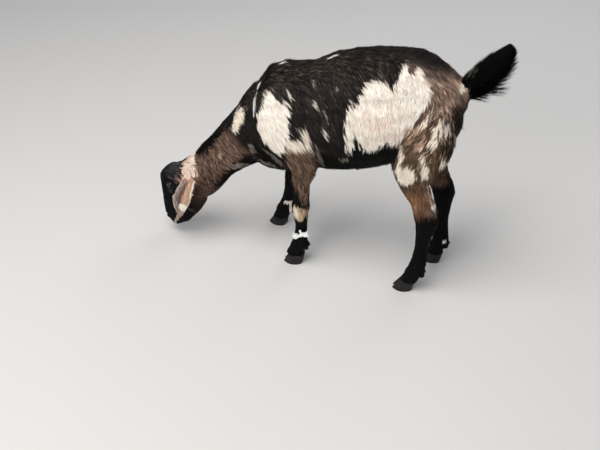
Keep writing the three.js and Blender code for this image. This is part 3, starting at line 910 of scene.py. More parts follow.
def lie_of_hair(points, normals):
    """The guides' directions averaged by the fourth power of nearness, laid into the surface."""
    way = np.zeros_like(points)
    for (x, y, z), (dx, dy, dz) in lie_guides:
        middle = head_x if y < -0.3 else 0.0
        for side in (1, -1):
            place = np.array([middle + side * (x - middle), y, z])
            near = 1 / ((((points - place) / np.array([0.7, 1, 1])) ** 2).sum(1) + 1e-4) ** 2
            step = np.array([side * dx, dy, dz])
            way += near[:, None] * step / np.linalg.norm(step)
    ear = on_ears(points)[:, None]
    way = way / np.linalg.norm(way, axis=1, keepdims=True)
    way = way * (1 - ear) + np.array([0, -0.05, -1.0]) * ear
    way -= normals * (way * normals).sum(1, keepdims=True)
    return way / np.maximum(np.linalg.norm(way, axis=1, keepdims=True), 1e-9)


def waves(points, size, seed):
    """Smooth noise from about -1 to 1: ten sine waves of about that wavelength in random
    directions, added up."""
    rng = np.random.default_rng(seed)
    ways = rng.normal(size=(3, 10))
    ways *= rng.uniform(0.6, 1.5, 10) / np.linalg.norm(ways, axis=0) * (2 * np.pi / size)
    return np.sin(points @ ways + rng.uniform(0, 2 * np.pi, 10)).sum(1) / 3.2


def strokes(points, way, size, seed):
    """Noise from about -1 to 1 drawn out along the hair: for each of eight directions in the side
    plane, waves over the points with four fifths of their run that way taken out, mixed by the
    16th power of how well the direction fits the hair's."""
    total = np.zeros(len(points))
    weight = np.full(len(points), 1e-6)
    for number, turn in enumerate(np.arange(8) * math.pi / 8):
        along = np.array([0, math.cos(turn), math.sin(turn)])
        fit = np.abs(way @ along) ** 16
        squeezed = points - 0.82 * (points @ along)[:, None] * along
        total += fit * waves(squeezed, size, seed + 100 * number)
        weight += fit**2
    return total / np.sqrt(weight)


# ---- Markings ------------------------------------------------------------------------------------
# The coat's colours by place, used by skin and hair alike: a black and seal-brown goat with brown
# neck, rump and legs, cream patches on shoulder and flank, and scattered white.
seal_black = tone(29, 26, 25)
soft_black = tone(9, 9, 9)
seal_brown = tone(88, 76, 69)
warm_brown = tone(134, 111, 98)
neck_brown = tone(122, 97, 83)
neck_dark = tone(38, 30, 26)
thigh_brown = tone(96, 76, 60)
rust_brown = tone(146, 104, 74)
tan = tone(206, 172, 147)
cream = tone(240, 226, 208)
cream_white = tone(246, 234, 221)
pure_white = tone(252, 247, 241)
slate = tone(70, 71, 73)
slate_black = tone(16, 17, 20)


def ovals(points, places, edge, streaks):
    """How far a point lies inside the nearest of several ovals on the goat's side, made uneven by
    streaks along the hair, as a mask with soft edges. An oval is y, z, half length, half height
    and tilt."""
    best = np.full(len(points), -1.0)
    for y, z, half_long, half_high, tilt in places:
        dy, dz = points[:, 1] - y, points[:, 2] - z
        c, s = math.cos(tilt), math.sin(tilt)
        u, v = (c * dy + s * dz) / half_long, (c * dz - s * dy) / half_high
        best = np.maximum(best, (1 - np.hypot(u, v)) * min(half_long, half_high))
    return soft_step(best + streaks, -edge, edge)


left_flank = [
    (0.099, 0.437, 0.012, 0.056, 0.0),
    (0.147, 0.468, 0.042, 0.076, 0.0),
    (0.112, 0.466, 0.018, 0.034, 0.0),
    (0.152, 0.527, 0.032, 0.030, 0.0),
    (0.187, 0.510, 0.022, 0.031, 0.0),
    (0.222, 0.487, 0.028, 0.078, -0.46),
    (0.190, 0.465, 0.030, 0.040, 0.0),
    (0.211, 0.437, 0.006, 0.019, -0.2),
    (0.228, 0.543, 0.038, 0.031, 0.0),
]
left_prongs = [(0.2045, 0.564, 0.0085, 0.025, 0.1), (0.236, 0.563, 0.0080, 0.021, 0.15)]
left_shoulder = [
    (-0.093, 0.412, 0.039, 0.058, 0.0),
    (-0.106, 0.456, 0.015, 0.025, 0.0),
    (-0.065, 0.449, 0.012, 0.020, 0.0),
    (-0.082, 0.362, 0.023, 0.023, -0.3),
]
shoulder_tail = [
    (-0.010, 0.387, 0.010, 0.027, 0.35),
    (-0.036, 0.369, 0.025, 0.014, 0.0),
]
left_thigh = [
    (0.234, 0.347, 0.0245, 0.028, -0.1),
    (0.2225, 0.388, 0.0040, 0.018, 0.1),
    (0.277, 0.365, 0.0115, 0.020, 0.1),
    (0.271, 0.390, 0.0045, 0.015, 0.1),
    (0.2655, 0.478, 0.0055, 0.017, -0.55),
    (0.2895, 0.452, 0.0050, 0.030, -0.25),
    (0.289, 0.436, 0.0080, 0.012, 0.0),
    (0.316, 0.372, 0.0055, 0.016, 0.0),
]
left_thigh_dull = [
    (0.247, 0.452, 0.0065, 0.023, -0.45),
    (0.232, 0.456, 0.0055, 0.011, -0.4),
    (0.262, 0.428, 0.0045, 0.015, -0.6),
    (0.310, 0.459, 0.0070, 0.013, 0.0),
    (0.332, 0.437, 0.0060, 0.016, 0.0),
    (0.3045, 0.521, 0.0032, 0.012, 0.45),
    (0.300, 0.5045, 0.0034, 0.011, -0.8),
    (0.289, 0.291, 0.0030, 0.019, 0.3),
]
left_thigh_frost = [(0.3095, 0.462, 0.0070, 0.014, -0.2), (0.3345, 0.434, 0.0045, 0.012, 0.0)]
left_spots = [
    (-0.055, 0.484, 0.0045, 0.0095, 0.6),
    (0.012, 0.478, 0.0032, 0.0080, 0.5),
    (0.0405, 0.419, 0.0042, 0.0140, 0.35),
]
left_faint_and_highlight = [
    (-0.093, 0.521, 0.0030, 0.0020, 0.0),
    (0.001, 0.518, 0.0020, 0.0050, 0.4),
    (0.060, 0.526, 0.0035, 0.0030, 0.3),
    (0.041, 0.463, 0.0022, 0.0080, 0.4),
    # the oval low on the belly is a painted highlight on the black hair
    (0.083, 0.352, 0.0090, 0.0025, 0.3),
]
right_flank = [
    (0.130, 0.480, 0.046, 0.050, 0.3),
    (0.170, 0.430, 0.050, 0.040, -0.3),
    (0.205, 0.515, 0.030, 0.034, 0.2),
]
right_shoulder = [
    (-0.100, 0.420, 0.030, 0.048, 0.2),
    (-0.075, 0.380, 0.028, 0.030, 0.0),
]
right_spots = [
    (-0.020, 0.500, 0.005, 0.006, 0.0),
    (0.020, 0.455, 0.005, 0.010, 0.1),
    (0.055, 0.395, 0.005, 0.006, 0.0),
    (0.270, 0.440, 0.010, 0.028, -0.4),
    (0.235, 0.350, 0.018, 0.026, -0.2),
]
front_stripe = [(-0.1440, 0.450, 0.0042, 0.030, 0.0), (-0.1425, 0.482, 0.0022, 0.022, -0.1)]
chest_greys_and_elbow_highlight = [
    (-0.113, 0.324, 0.0040, 0.020, 0.75),
    (-0.162, 0.316, 0.0055, 0.018, 0.0),
    (-0.090, 0.303, 0.0080, 0.018, 0.5),
    # the last oval is a painted highlight on the fold of the elbow
    (0.0215, 0.342, 0.0048, 0.022, 0.0),
]
neck_base = [(-0.196, 0.386, 0.012, 0.034, -0.45)]
throat = [(-0.206, 0.250, 0.026, 0.011, 0.0), (-0.128, 0.276, 0.018, 0.007, 0.0)]
poll_patch = [(-0.3395, 0.246, 0.0145, 0.019, 0.3), (-0.337, 0.221, 0.020, 0.017, 0.0)]
ear_root_patch = [(-0.336, 0.200, 0.023, 0.017, 0.0)]


class Strands:
    """Points with the lie of their hair, a chance from 0 to 1 that settles which single tufts of a
    mixed area are pale, and the strokes and raggedness that all the paints share."""

    def __init__(self, points, way, chance):
        self.points, self.way, self.chance = points, way, chance
        self.left = soft_step(points[:, 0], -0.006, 0.006)
        self.broad = waves(points, 0.09, 3)
        self.fine = strokes(points, way, 0.0042, 4)
        self.long = strokes(points, way, 0.0110, 5)
        self.ragged = 0.0026 * self.long + 0.0020 * self.fine

    def near(self, *spots):
        """The bells of one or more spots, each a centre and radii, added up."""
        return sum(near_spot(self.points, centre, radii) for centre, radii in spots)

    def near_both(self, off, y, z, radii):
        """A bell on each side of the head's middle plane, added up."""
        return self.near(((head_x + off, y, z), radii), ((head_x - off, y, z), radii))


# Each region gives its paints in order, as a mask and a pigment.
def barrel_paints(at):
    """Black, with brown strokes that are partly brown hair tips and partly painted sheen, most on the
    back.
    """
    z = at.points[:, 2]
    # brown strokes: partly brown hair tips, partly painted sheen on the black hair, stronger high on
    # the back where the light falls
    brown = strokes(at.points, at.way, 0.0032, 6) + 0.35 * at.broad + 1.2 * (at.chance - 0.5)
    barrel = soft_step(z, 0.37, 0.46) * soft_step(brown, 0.0, 1.7)
    yield barrel * (0.65 + 0.2 * soft_step(z, 0.49, 0.56)), seal_brown
    yield 1 - soft_step(z + 0.3 * at.ragged, 0.31, 0.37), soft_black


def rump_paints(at):
    """Brown, ticked with cream, black along the top and down the back of the thigh."""
    x, y, z = at.points.T
    fine, long, ragged = at.fine, at.long, at.ragged
    outside = np.abs(x) > 0.02
    rump = soft_step(y + 0.25 * (z - 0.5) + 2 * ragged, 0.215, 0.262) * soft_step(z, 0.35, 0.40)
    thigh = soft_step(y, 0.185, 0.215) * soft_step(z, 0.225, 0.26) * (1 - soft_step(z, 0.42, 0.48))
    brown = np.maximum(rump, thigh * outside)
    yield brown, warm_brown
    lower = 1 - soft_step(z + 0.01 * long, 0.46, 0.52)
    yield np.maximum(rump, thigh) * lower * outside, thigh_brown
    dark_run = soft_step(fine + 0.5 * long + 0.6 * (at.chance - 0.5), 0.0, 1.1)
    yield brown * dark_run * 0.75, seal_brown * 0.45
    yield rump * soft_step(-fine + 0.8 * (at.chance - 0.5), 0.6, 1.3) * 0.65, tan
    top_line = soft_step(z + 0.25 * y, 0.625, 0.655) * (1 - soft_step(np.abs(x), 0.030, 0.052))
    yield top_line, seal_black
    back_edge = soft_step(y + 2 * ragged, 0.302, 0.322)
    yield back_edge * (1 - soft_step(z, 0.500, 0.532)) * 0.88, soft_black
    between = soft_step(-np.abs(x), -0.030, -0.018) * soft_step(y, 0.17, 0.22)
    yield between * (z < 0.42), soft_black
    shadow = at.near(((0.08, 0.262, 0.452), (0.06, 0.040, 0.030)))
    yield at.left * shadow * 0.55, tone(60, 46, 34)
    stifle = soft_step(0.218 - y + 0.30 * (z - 0.38) + 2 * ragged, -0.006, 0.010) * (y > 0.10)
    yield stifle * (z < 0.405), soft_black


def leg_paints(at):
    """Black from hock and knee down, brown above them, rust in front of the hock."""
    x, y, z = at.points.T
    ragged, chance = at.ragged, at.chance
    hind = y > 0.12
    rust = hind * at.near(((0.080, 0.262, 0.262), (0.05, 0.022, 0.040)))
    yield rust * 0.9, rust_brown
    far_thigh = hind * (x < -0.01) * (z < 0.36)
    yield far_thigh * soft_step(y, 0.30, 0.325), soft_black
    hock_z = 0.222
    yield hind * (1 - soft_step(z + 3 * ragged, hock_z - 0.014, hock_z + 0.012)), soft_black
    fore = (y < 0.06) & (y > -0.24) & (z < 0.36) & (np.abs(x) > 0.036)
    middle_y = np.where(x > 0, -0.030, -0.100 + (0.255 - z) * 0.35 * (z < 0.255))
    near_leg = 1 - soft_step(np.abs(y - middle_y) - 0.4 * np.clip(z - 0.30, 0, 0.06), 0.030, 0.042)
    forearm = fore * plateau(z, 0.185, 0.20, 0.31, 0.36) * near_leg
    front = 0.0150 - 0.383 * np.clip(z - 0.190, 0, 0.09) + 0.8 * ragged
    yield forearm * soft_step(y - middle_y - front, -0.006, 0.004), thigh_brown
    brushed = soft_step(at.fine + 0.6 * (chance - 0.5), -0.5, 0.9)
    yield forearm * soft_step(y - middle_y - front, -0.002, 0.010) * brushed, warm_brown * 1.05
    yield fore * (1 - soft_step(z, 0.176, 0.190)), soft_black
    upper_arm = ovals(at.points, [(-0.026, 0.328, 0.034, 0.052, 0.0)], 0.010, 1.2 * ragged)
    yield at.left * upper_arm * 0.9 * (z > 0.265), thigh_brown * 0.8
    yield at.left * upper_arm * brushed * 0.6 * (z > 0.265), warm_brown
    arm_backs = [(0.192, -0.012), (0.204, -0.009), (0.234, -0.005), (0.268, 0.003), (0.31, 0.009)]
    behind = np.interp(z, *zip(*arm_backs))
    behind_arm = soft_step(y - behind + 1.5 * ragged, -0.002, 0.007) * (y < 0.2) * (z > 0.18)
    yield at.left * behind_arm * (1 - soft_step(z, 0.345, 0.37)), soft_black
    for middle, radii, full, strength, pigment in (
        ((0.080, -0.027, 0.166), (0.04, 0.018, 0.024), 0.65, 1, tone(190, 164, 134)),
        ((0.083, -0.038, 0.168), (0.03, 0.010, 0.020), 0.70, 0.5 + 0.5 * (chance > 0.3), cream),
    ):
        knee = 1.3 * at.near((middle, radii)) + 50 * ragged
        yield at.left * soft_step(knee, 0.45, full) * strength, pigment


def neck_paints(at):
    """Brown sides, streaked, with painted shade and painted highlights for the wrinkles near the
    head, between a black crest and a black underside.
    """
    y, z = at.points[:, 1], at.points[:, 2]
    along = (y + 0.2457) * 0.70 + (z - 0.270) * 0.714
    across = -(y + 0.2457) * 0.714 + (z - 0.270) * 0.70
    neck = plateau(along, -0.165, -0.145, 0.055, 0.095) * ((y < -0.12) & (z > 0.10))
    low_edges = [(-0.16, -0.037), (-0.115, -0.036), (-0.09, -0.041), (-0.03, -0.030), (0.0, -0.029)]
    low_edge = np.interp(along, *zip(*low_edges))
    side = soft_step(across - low_edge + 2 * at.ragged, -0.008, 0.010)
    top_edges = [(-0.06, 0.036), (-0.03, 0.024), (0.0, 0.028), (0.04, 0.034)]
    top_edge = np.interp(along, *zip(*top_edges))
    side *= 1 - soft_step(across - top_edge + 2 * at.ragged, 0.0, 0.016)
    neck = neck * side
    yield neck, neck_brown
    yield neck * soft_step(at.fine + 0.4 * at.long + 0.3 * at.broad, -0.4, 0.9) * 0.85, neck_dark
    # wrinkles near the head: painted shade in their creases and painted highlights on their crests
    fold_light_and_shade = strokes(at.points, at.way, 0.0027, 8) * (1 - soft_step(along, -0.05, 0.01))
    yield neck * soft_step(fold_light_and_shade, 0.1, 0.9) * 0.75, neck_dark * 0.8
    yield neck * soft_step(-fold_light_and_shade, 0.7, 1.4) * 0.45, tone(176, 148, 130)
    fleck = at.near(((0.057, -0.249, 0.280), (0.03, 0.007, 0.012))) + 40 * at.ragged
    fleck = at.left * soft_step(fleck, 0.5, 0.8) * soft_step(at.chance, 0.2, 0.5)
    yield fleck * 0.8, tone(216, 188, 174)


def head_paints(at):
    """Black with a slate sheen on forehead and nose, painted highlights on the brows and below the
    eyes, a little brown on cheek and temple, painted shade on the jowl below the ears, and cream
    behind the poll."""
    y, z = at.points[:, 1], at.points[:, 2]
    fine, ragged = at.fine, at.ragged
    head = on_head(at.points) * (1 - on_ears(at.points))
    rear_face = soft_step(y + 2 * ragged, -0.350, -0.334)
    face, jowl = head * (1 - rear_face), head * rear_face
    yield face, slate_black
    yield jowl, neck_brown * 0.58
    yield jowl * soft_step(fine + 0.5 * at.long, -0.3, 1.0) * 0.8, neck_dark * 0.8
    # painted shade on the lower jowl, where the ear shades it
    jowl_shade = 1 - soft_step(z + 0.45 * (y + 0.33) + 2 * ragged, 0.100, 0.165)
    yield jowl * jowl_shade * 0.85, neck_dark * 0.4
    forehead = at.near(((head_x, -0.395, 0.222), (0.045, 0.036, 0.030)))
    yield face * soft_step(forehead + 40 * ragged, 0.1, 0.8) * 0.75, slate
    temple = at.near_both(0.042, -0.369, 0.200, (0.03, 0.012, 0.020))
    yield face * soft_step(temple + 40 * ragged, 0.3, 0.9) * 0.7, tone(92, 78, 70)
    # painted highlight along the brow ridge over each eye
    brow_highlight = at.near(
        ((head_x + 0.036, -0.394, 0.196), (0.02, 0.006, 0.004)),
        ((head_x + 0.040, -0.383, 0.193), (0.02, 0.008, 0.003)),
        ((head_x + 0.041, -0.369, 0.187), (0.02, 0.007, 0.003)),
    )
    yield face * soft_step(brow_highlight, 0.4, 0.9) * 0.32, tone(112, 108, 106)
    # painted highlight on the bone below each eye
    under_eye_highlight = at.near_both(0.038, -0.394, 0.156, (0.03, 0.012, 0.008))
    yield face * soft_step(under_eye_highlight, 0.3, 0.9) * 0.42, tone(78, 76, 76)
    jaw = at.near(((head_x + 0.02, -0.349, 0.088), (0.04, 0.016, 0.012)))
    yield face * soft_step(jaw + 40 * ragged, 0.4, 0.9) * 0.6, tone(104, 92, 82)
    bridge = at.near(((head_x, -0.440, 0.120), (0.014, 0.024, 0.075)))
    cheek_crest = at.near_both(0.038, -0.376, 0.122, (0.02, 0.010, 0.030))
    sheen = 0.7 * bridge + 0.6 * cheek_crest
    yield face * sheen * soft_step(fine, -0.8, 0.8), tone(46, 46, 49)
    lips = at.near(((head_x, -0.400, 0.034), (0.05, 0.040, 0.016)))
    yield head * lips * soft_step(at.chance, 0.2, 0.6) * 0.6, tone(58, 53, 50)
    ear_root = ovals(at.points, ear_root_patch, 0.006, 1.5 * ragged) * (1 - on_ears(at.points))
    yield head * ear_root * 0.85, tone(188, 146, 122)
    poll = ovals(at.points, poll_patch, 0.004, 1.6 * ragged)
    yield poll, tan
    yield poll * soft_step(0.5 * fine + 0.8 * (at.chance - 0.3), -0.6, 0.3), tone(234, 214, 197)


def ear_paints(at):
    """Mauve bare skin in front with a painted highlight on its front edge, painted shade along the
    fold, salmon behind with a pale edge, and a cream spot.
    """
    y, z = at.points[:, 1], at.points[:, 2]
    ear = on_ears(at.points)
    front_y = np.interp(z, ear_heights, ear_front)
    rear_y = np.interp(z, ear_heights, ear_rear)
    over = np.clip((y - front_y) / (rear_y - front_y), 0, 1)
    upper = ear * soft_step(z, 0.125, 0.140)
    yield ear, tone(214, 168, 144)
    # painted shade along the ear's fold: a dark band over the fore half, left showing behind the
    # mauve
    yield ear * (1 - soft_step(over + 0.05 * at.fine, 0.44, 0.60)), tone(124, 100, 88)
    yield ear * (1 - soft_step(over, 0.18, 0.34)), tone(160, 142, 140)
    # painted highlight along the ear's front edge
    yield ear * (1 - soft_step(over, 0.04, 0.10)), tone(196, 176, 162)
    yield upper * soft_step(over, 0.72, 0.80), tone(178, 154, 124)
    yield ear * soft_step(over, 0.86, 0.92) * soft_step(z, 0.148, 0.172), cream
    yield upper * soft_step(over, 0.95, 0.99) * 0.8, cream
    yield ear * (1 - soft_step(z, 0.100, 0.125)), tone(176, 158, 142)
    spot = at.near(((0, -0.3475, 0.1225), (9, 0.0155, 0.0150))) + 30 * at.ragged
    yield ear * soft_step(spot, 0.40, 0.55), tone(246, 236, 218)


def patch_paints(at):
    """Cream and white patches on the outer sides, and the marks on back, tail and feet."""
    x, y, z = at.points.T
    outer = soft_step(np.abs(x), 0.042, 0.056)
    left, right, near_side = at.left * outer, (1 - at.left) * outer, x > 0.02
    rosy = 0.6 * at.near(((0.09, 0.165, 0.46), (0.1, 0.05, 0.04)))
    frosted = 0.35 + 0.5 * (at.chance > 0.4)
    for side, places, edge, uneven, strength, pigment in (
        (left, shoulder_tail, 0.0050, 1.3, 1, cream * 0.95),
        (left, left_shoulder, 0.0018, 1.2, 1, cream_white),
        (left, left_flank, 0.0018, 1.0, 1, cream_white),
        (near_side, left_prongs, 0.0018, 0.4, 1, cream_white),
        (left, left_flank, 0.0018, 1.0, rosy, tone(236, 210, 195)),
        (left, left_thigh_dull, 0.0030, 1.4, 0.75, tan),
        (left, left_thigh, 0.0020, 1.1, 1, cream),
        (left, left_thigh_frost, 0.0030, 1.3, frosted, tone(236, 228, 220)),
        (left, left_spots, 0.0012, 0.7, 0.75, cream_white),
        (left, left_faint_and_highlight, 0.0012, 0.6, 0.35, cream),
        (right, right_flank, 0.0025, 2.0, 1, cream_white),
        (right, right_shoulder, 0.0025, 2.0, 1, cream_white),
        (right, right_spots, 0.0015, 1.0, 1, cream),
        (near_side, front_stripe, 0.0010, 0.2, 1, pure_white),
        (near_side, neck_base, 0.0020, 1.0, 1, cream),
        # grey marks on the chest, and a painted highlight on the elbow's fold
        (near_side, chest_greys_and_elbow_highlight, 0.0030, 1.0, 0.6, tone(150, 138, 128)),
        (1, throat, 0.0030, 1.5, 0.8, tone(136, 128, 118)),
    ):
        yield side * ovals(at.points, places, edge, uneven * at.ragged) * strength, pigment
    loin = bell(x - 0.013, 0.0035) * bell(y - 0.031, 0.015)
    withers = bell(x - 0.006, 0.006) * bell(y + 0.091, 0.012)
    back_marks = np.maximum(loin, 0.8 * withers) + 30 * at.ragged
    yield (z > 0.45) * soft_step(back_marks, 0.40, 0.60), cream_white
    tail_spot = at.near(((0.024, 0.329, 0.546), (0.019, 0.013, 0.015))) + 30 * at.ragged
    yield soft_step(tail_spot, 0.40, 0.60), cream
    hock_mark = at.near(((0.076, 0.3005, 0.259), (0.014, 0.007, 0.010)))
    yield soft_step(hock_mark, 0.45, 0.65), pure_white
    fetlock_marks = at.near(
        ((-0.055, 0.322, 0.070), (0.02, 0.008, 0.010)),
        ((-0.062, -0.110, 0.087), (0.02, 0.014, 0.006)),
        ((-0.062, -0.103, 0.068), (0.02, 0.006, 0.022)),
    )
    yield soft_step(fetlock_marks, 0.45, 0.6), cream_white
    yield on_tail(at.points), soft_black


regions = (barrel_paints, rump_paints, leg_paints, neck_paints, head_paints, ear_paints, patch_paints)


def coat_colour(points, way, chance):
    """The colour at each point: all regions' paints laid one over another on black."""
    at = Strands(points, way, chance)
    colour = np.tile(seal_black, (len(points), 1))
    for paints in regions:
        for mask, pigment in paints(at):
            colour += (pigment - colour) * np.clip(mask, 0, 1)[:, None]
    return colour


def store_colours(mesh, colours):
    """Writes a colour for each point of the mesh as the attribute that the finishes read."""
    layer = mesh.attributes.new("coat", "FLOAT_COLOR", "POINT")
    four = np.ones((len(colours), 4), np.float32)
    four[:, :3] = colours
    layer.data.foreach_set("color", four.reshape(-1))


def bare_nose(points):
    """1 on the hairless pad between the nostrils and on the upper lip's edge."""
    mirrored = np.stack([np.abs(points[:, 0] - head_x), points[:, 1], points[:, 2]], 1)
    pad = near_spot(mirrored, (0.004, -0.430, 0.049), (0.015, 0.022, 0.014))
    return soft_step(pad, 0.45, 0.60)


hide_finish = Finish("hide", {"Roughness": 0.72, "Specular IOR Level": 0.2})
hide_colour = hide_finish.node("ShaderNodeAttribute", {"attribute_name": "coat"}, {})
hide_finish.drive("Base Color", hide_colour)
hide_finish.roughen(0.25, 0.0006, hide_finish.noise(hide_finish.place(), 900.0, 3.0))
skin_way = lie_of_hair(hide.points, hide.normals())
skin_tints = coat_colour(hide.points, skin_way, np.full(len(hide.points), 0.5)) * 0.85
lid_skin = 1 - soft_step(from_eyes(hide.points), eye_radius + 0.0012, eye_radius + 0.004)
for mask, pigment in (
    (lid_skin, tone(16, 14, 14)),
    (bare_nose(hide.points), tone(40, 37, 38)),
    (nostril * snout, tone(5, 5, 5)),
):
    skin_tints += (pigment - skin_tints) * mask[:, None]
store_colours(hide_mesh, skin_tints)
hide_mesh.materials.clear()
hide_mesh.materials.append(hide_finish.material)
hide_mesh.polygons.foreach_set("use_smooth", np.ones(len(hide_mesh.polygons), bool))
skin = bpy.data.objects.new("skin", hide_mesh)
bpy.context.scene.collection.objects.link(skin)
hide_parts(*flesh_nodes)
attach(skin, "root")


# ---- Coat ----------------------------------------------------------------------------------------
# Short flat hair in thin pointed tufts that lie back over one another, each a closed solid with
# its root in the skin; fine on face, ears and feet, longer on flank and crest of the neck.
def hair_size(points):
    """Length and width of a tuft, in metres."""
    length = np.full(len(points), 0.0165)
    width = np.full(len(points), 0.0018)
    neck = (1 - soft_step(points[:, 1], -0.20, -0.12)) * (1 - on_head(points))
    length += (0.0125 - length) * neck
    for mask, long, wide in (
        (on_legs(points), 0.0100, 0.0015),
        (on_head(points), 0.0058, 0.0011),
        (on_ears(points), 0.0042, 0.0010),
    ):
        length += (long - length) * mask
        width += (wide - width) * mask
    foot = (1 - soft_step(points[:, 2], 0.03, 0.12)) * (points[:, 1] > -0.26)
    length += (0.0075 - length) * foot
    muzzle = (1 - soft_step(points[:, 2], 0.035, 0.12)) * (points[:, 1] < -0.30)
    length += (0.0026 - length) * muzzle
    return length, width


# Roots are strewn over the skin's triangles, closer together where the hair is short.
corners = hide.points[hide.triangles]
edge_one = corners[:, 1] - corners[:, 0]
edge_two = corners[:, 2] - corners[:, 0]
areas = np.linalg.norm(np.cross(edge_one, edge_two), axis=1) / 2
centres = corners.mean(1)
long_there, wide_there = hair_size(centres)
crowding = 1 / (long_there * wide_there) ** 0.58
crowding *= 1 - soft_step(on_tail(centres), 0.4, 0.8)
bare_lid = 0.0022  # no hair this close to the eyeball
hairline_z = 0.0262  # nor on the claws below this height
crowding *= from_eyes(centres) > eye_radius + bare_lid
crowding *= (centres[:, 2] > hairline_z) * (1 - bare_nose(centres))
# the strip covers the roots under it, from a little below its middle to a little above
covered_below, covered_above = -0.006, 0.008
from_strip = centres[:, 2] - strip_level - strip_slant * (centres[:, 1] - cannon_y)
on_cannon = (centres[:, 0] > 0.03) & (np.abs(centres[:, 1] - cannon_y) < 0.04)
crowding *= ~(on_cannon & (from_strip > covered_below) & (from_strip < covered_above))
weights = areas * crowding
tuft_total = 222000
rng = np.random.default_rng(11)
strewn = (np.arange(tuft_total) + rng.uniform(size=tuft_total)) / tuft_total
chosen = np.searchsorted(np.cumsum(weights) / weights.sum(), strewn)
chosen = np.minimum(chosen, len(weights) - 1)
share = np.sqrt(rng.uniform(size=tuft_total))
other = rng.uniform(size=tuft_total)
parts = np.stack([1 - share, share * (1 - other), share * other], 1)
skin_normals = hide.normals()
roots = (corners[chosen] * parts[:, :, None]).sum(1)
stand = (skin_normals[hide.triangles[chosen]] * parts[:, :, None]).sum(1)
stand /= np.linalg.norm(stand, axis=1, keepdims=True)
lie = lie_of_hair(roots, stand)
length, width = hair_size(roots)

root_depth = 0.0005
patch_size = 0.003  # of one tuft on the unwrap
coat_finish = Finish("coat", {"Roughness": 0.55, "Specular IOR Level": 0.07})
coat_tint = coat_finish.node("ShaderNodeAttribute", {"attribute_name": "coat"}, {})
coat_finish.drive("Base Color", coat_tint)


def tuft_pattern(rings):
    """One tuft's faces as a run of corners, and how many sides each face has: a fan of triangles at
    the root, a band of quads between each two rings, and a fan at the tip."""
    tip = 3 * rings + 1
    corner, onward = np.arange(3), np.array([1, 2, 0])
    bands = [
        np.stack([low + corner, low + onward, low + 3 + onward, low + 3 + corner], 1)
        for low in range(1, tip - 3, 3)
    ]
    root_fan = np.stack([0 * corner, 1 + onward, 1 + corner], 1)
    tip_fan = np.stack([tip - 3 + corner, tip - 3 + onward, tip + 0 * corner], 1)
    corners = np.concatenate([faces.reshape(-1) for faces in (*bands, root_fan, tip_fan)])
    return corners, [4] * 3 * len(bands) + [3] * 6


def tuft_mesh(name, strands, tints, chart, rings):
    """Solid tufts, pointed at both ends: a point in the skin, triangular sections at the given
    shares of the length, and a point at the tip. The middle runs along the lie of the hair and
    rises by a curve that flattens towards the tip. A strand is its root, the skin's normal there,
    its lie, length and width, and its tip's height; tints are the root's and the tip's colours, and
    chart its place on the skin's unwrap."""
    roots, stand, lie, length, width, lift = strands
    beside = np.cross(lie, stand)
    spots = [roots - stand * root_depth]
    for t in rings:
        middle = roots + lie * (length * t)[:, None]
        middle += stand * (lift * (1.9 * t - 0.9 * t * t))[:, None]
        half = (width * 0.5 * math.sin(math.pi * t**0.75) ** 0.7)[:, None]
        spots += [middle - beside * half, middle + stand * half * 0.5, middle + beside * half]
    spots.append(roots + lie * length[:, None] + stand * lift[:, None])
    points = np.stack(spots, 1).reshape(-1, 3)
    corners, tuft_sides = tuft_pattern(len(rings))
    loops = (np.arange(len(roots))[:, None] * len(spots) + corners).reshape(-1)
    sides = np.tile(tuft_sides, len(roots))
    mesh = bpy.data.meshes.new(name)
    mesh.vertices.add(len(points))
    mesh.vertices.foreach_set("co", points.reshape(-1).astype(np.float32))
    mesh.loops.add(len(loops))
    mesh.loops.foreach_set("vertex_index", loops.astype(np.int32))
    mesh.polygons.add(len(sides))
    begins = np.concatenate([[0], np.cumsum(sides)[:-1]])
    mesh.polygons.foreach_set("loop_start", begins.astype(np.int32))
    mesh.polygons.foreach_set("loop_total", sides.astype(np.int32))
    mesh.polygons.foreach_set("use_smooth", np.zeros(len(sides), bool))
    mesh.update(calc_edges=True)
    mesh.materials.append(coat_finish.material)
    shares = np.concatenate([[0.0], np.repeat(rings, 3), [1.0]])
    root_tint, tip_tint = tints
    mixed = root_tint[:, None, :] + (tip_tint - root_tint)[:, None, :] * shares[None, :, None]
    store_colours(mesh, mixed.reshape(-1, 3))
    # each tuft is a small patch round its root's place on the unwrap
    across = np.concatenate([[0.0], np.tile([-0.5, 0.0, 0.5], len(rings)), [0.0]])
    local = np.stack([across, shares - 0.5], 1) * patch_size
    spread = (chart[:, None, :] + local[None]).reshape(-1, 2)
    layer = mesh.uv_layers.new(name="OFBake")
    layer.data.foreach_set("uv", spread[loops].reshape(-1).astype(np.float32))
    piece = bpy.data.objects.new(name, mesh)
    bpy.context.scene.collection.objects.link(piece)
    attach(piece, "root")
    return piece


# A tuft varies in length, lean, side turn and shade from its neighbours.
vary = rng.normal(size=(5, tuft_total))
lock = waves(roots, 0.016, 40)
angle = 0.10 * vary[0] + 0.09 * lock
beside = np.cross(stand, lie)
lie = lie * np.cos(angle)[:, None] + beside * np.sin(angle)[:, None]
length = length * np.clip(1 + 0.18 * vary[1], 0.55, 1.5)
width = width * np.clip(1 + 0.2 * vary[2], 0.5, 1.6)
lift = length * np.clip(0.16 + 0.04 * vary[3] + 0.03 * lock, 0.05, 0.34)
chance = rng.uniform(size=tuft_total)
middles = roots + lie * (rng.uniform(0.2, 0.5, tuft_total) * length)[:, None]
tint = coat_colour(middles, lie, chance)
pale = soft_step(tint.mean(1), 0.1, 0.6)
shade = (0.40 - 0.27 * pale) * strokes(roots, lie, 0.0050, 41)
shade += (0.16 - 0.10 * pale) * strokes(roots, lie, 0.011, 42) + 0.07 * vary[4]
tint = np.clip(tint * np.exp(shade)[:, None], 0, 0.95)
pale = pale[:, None]
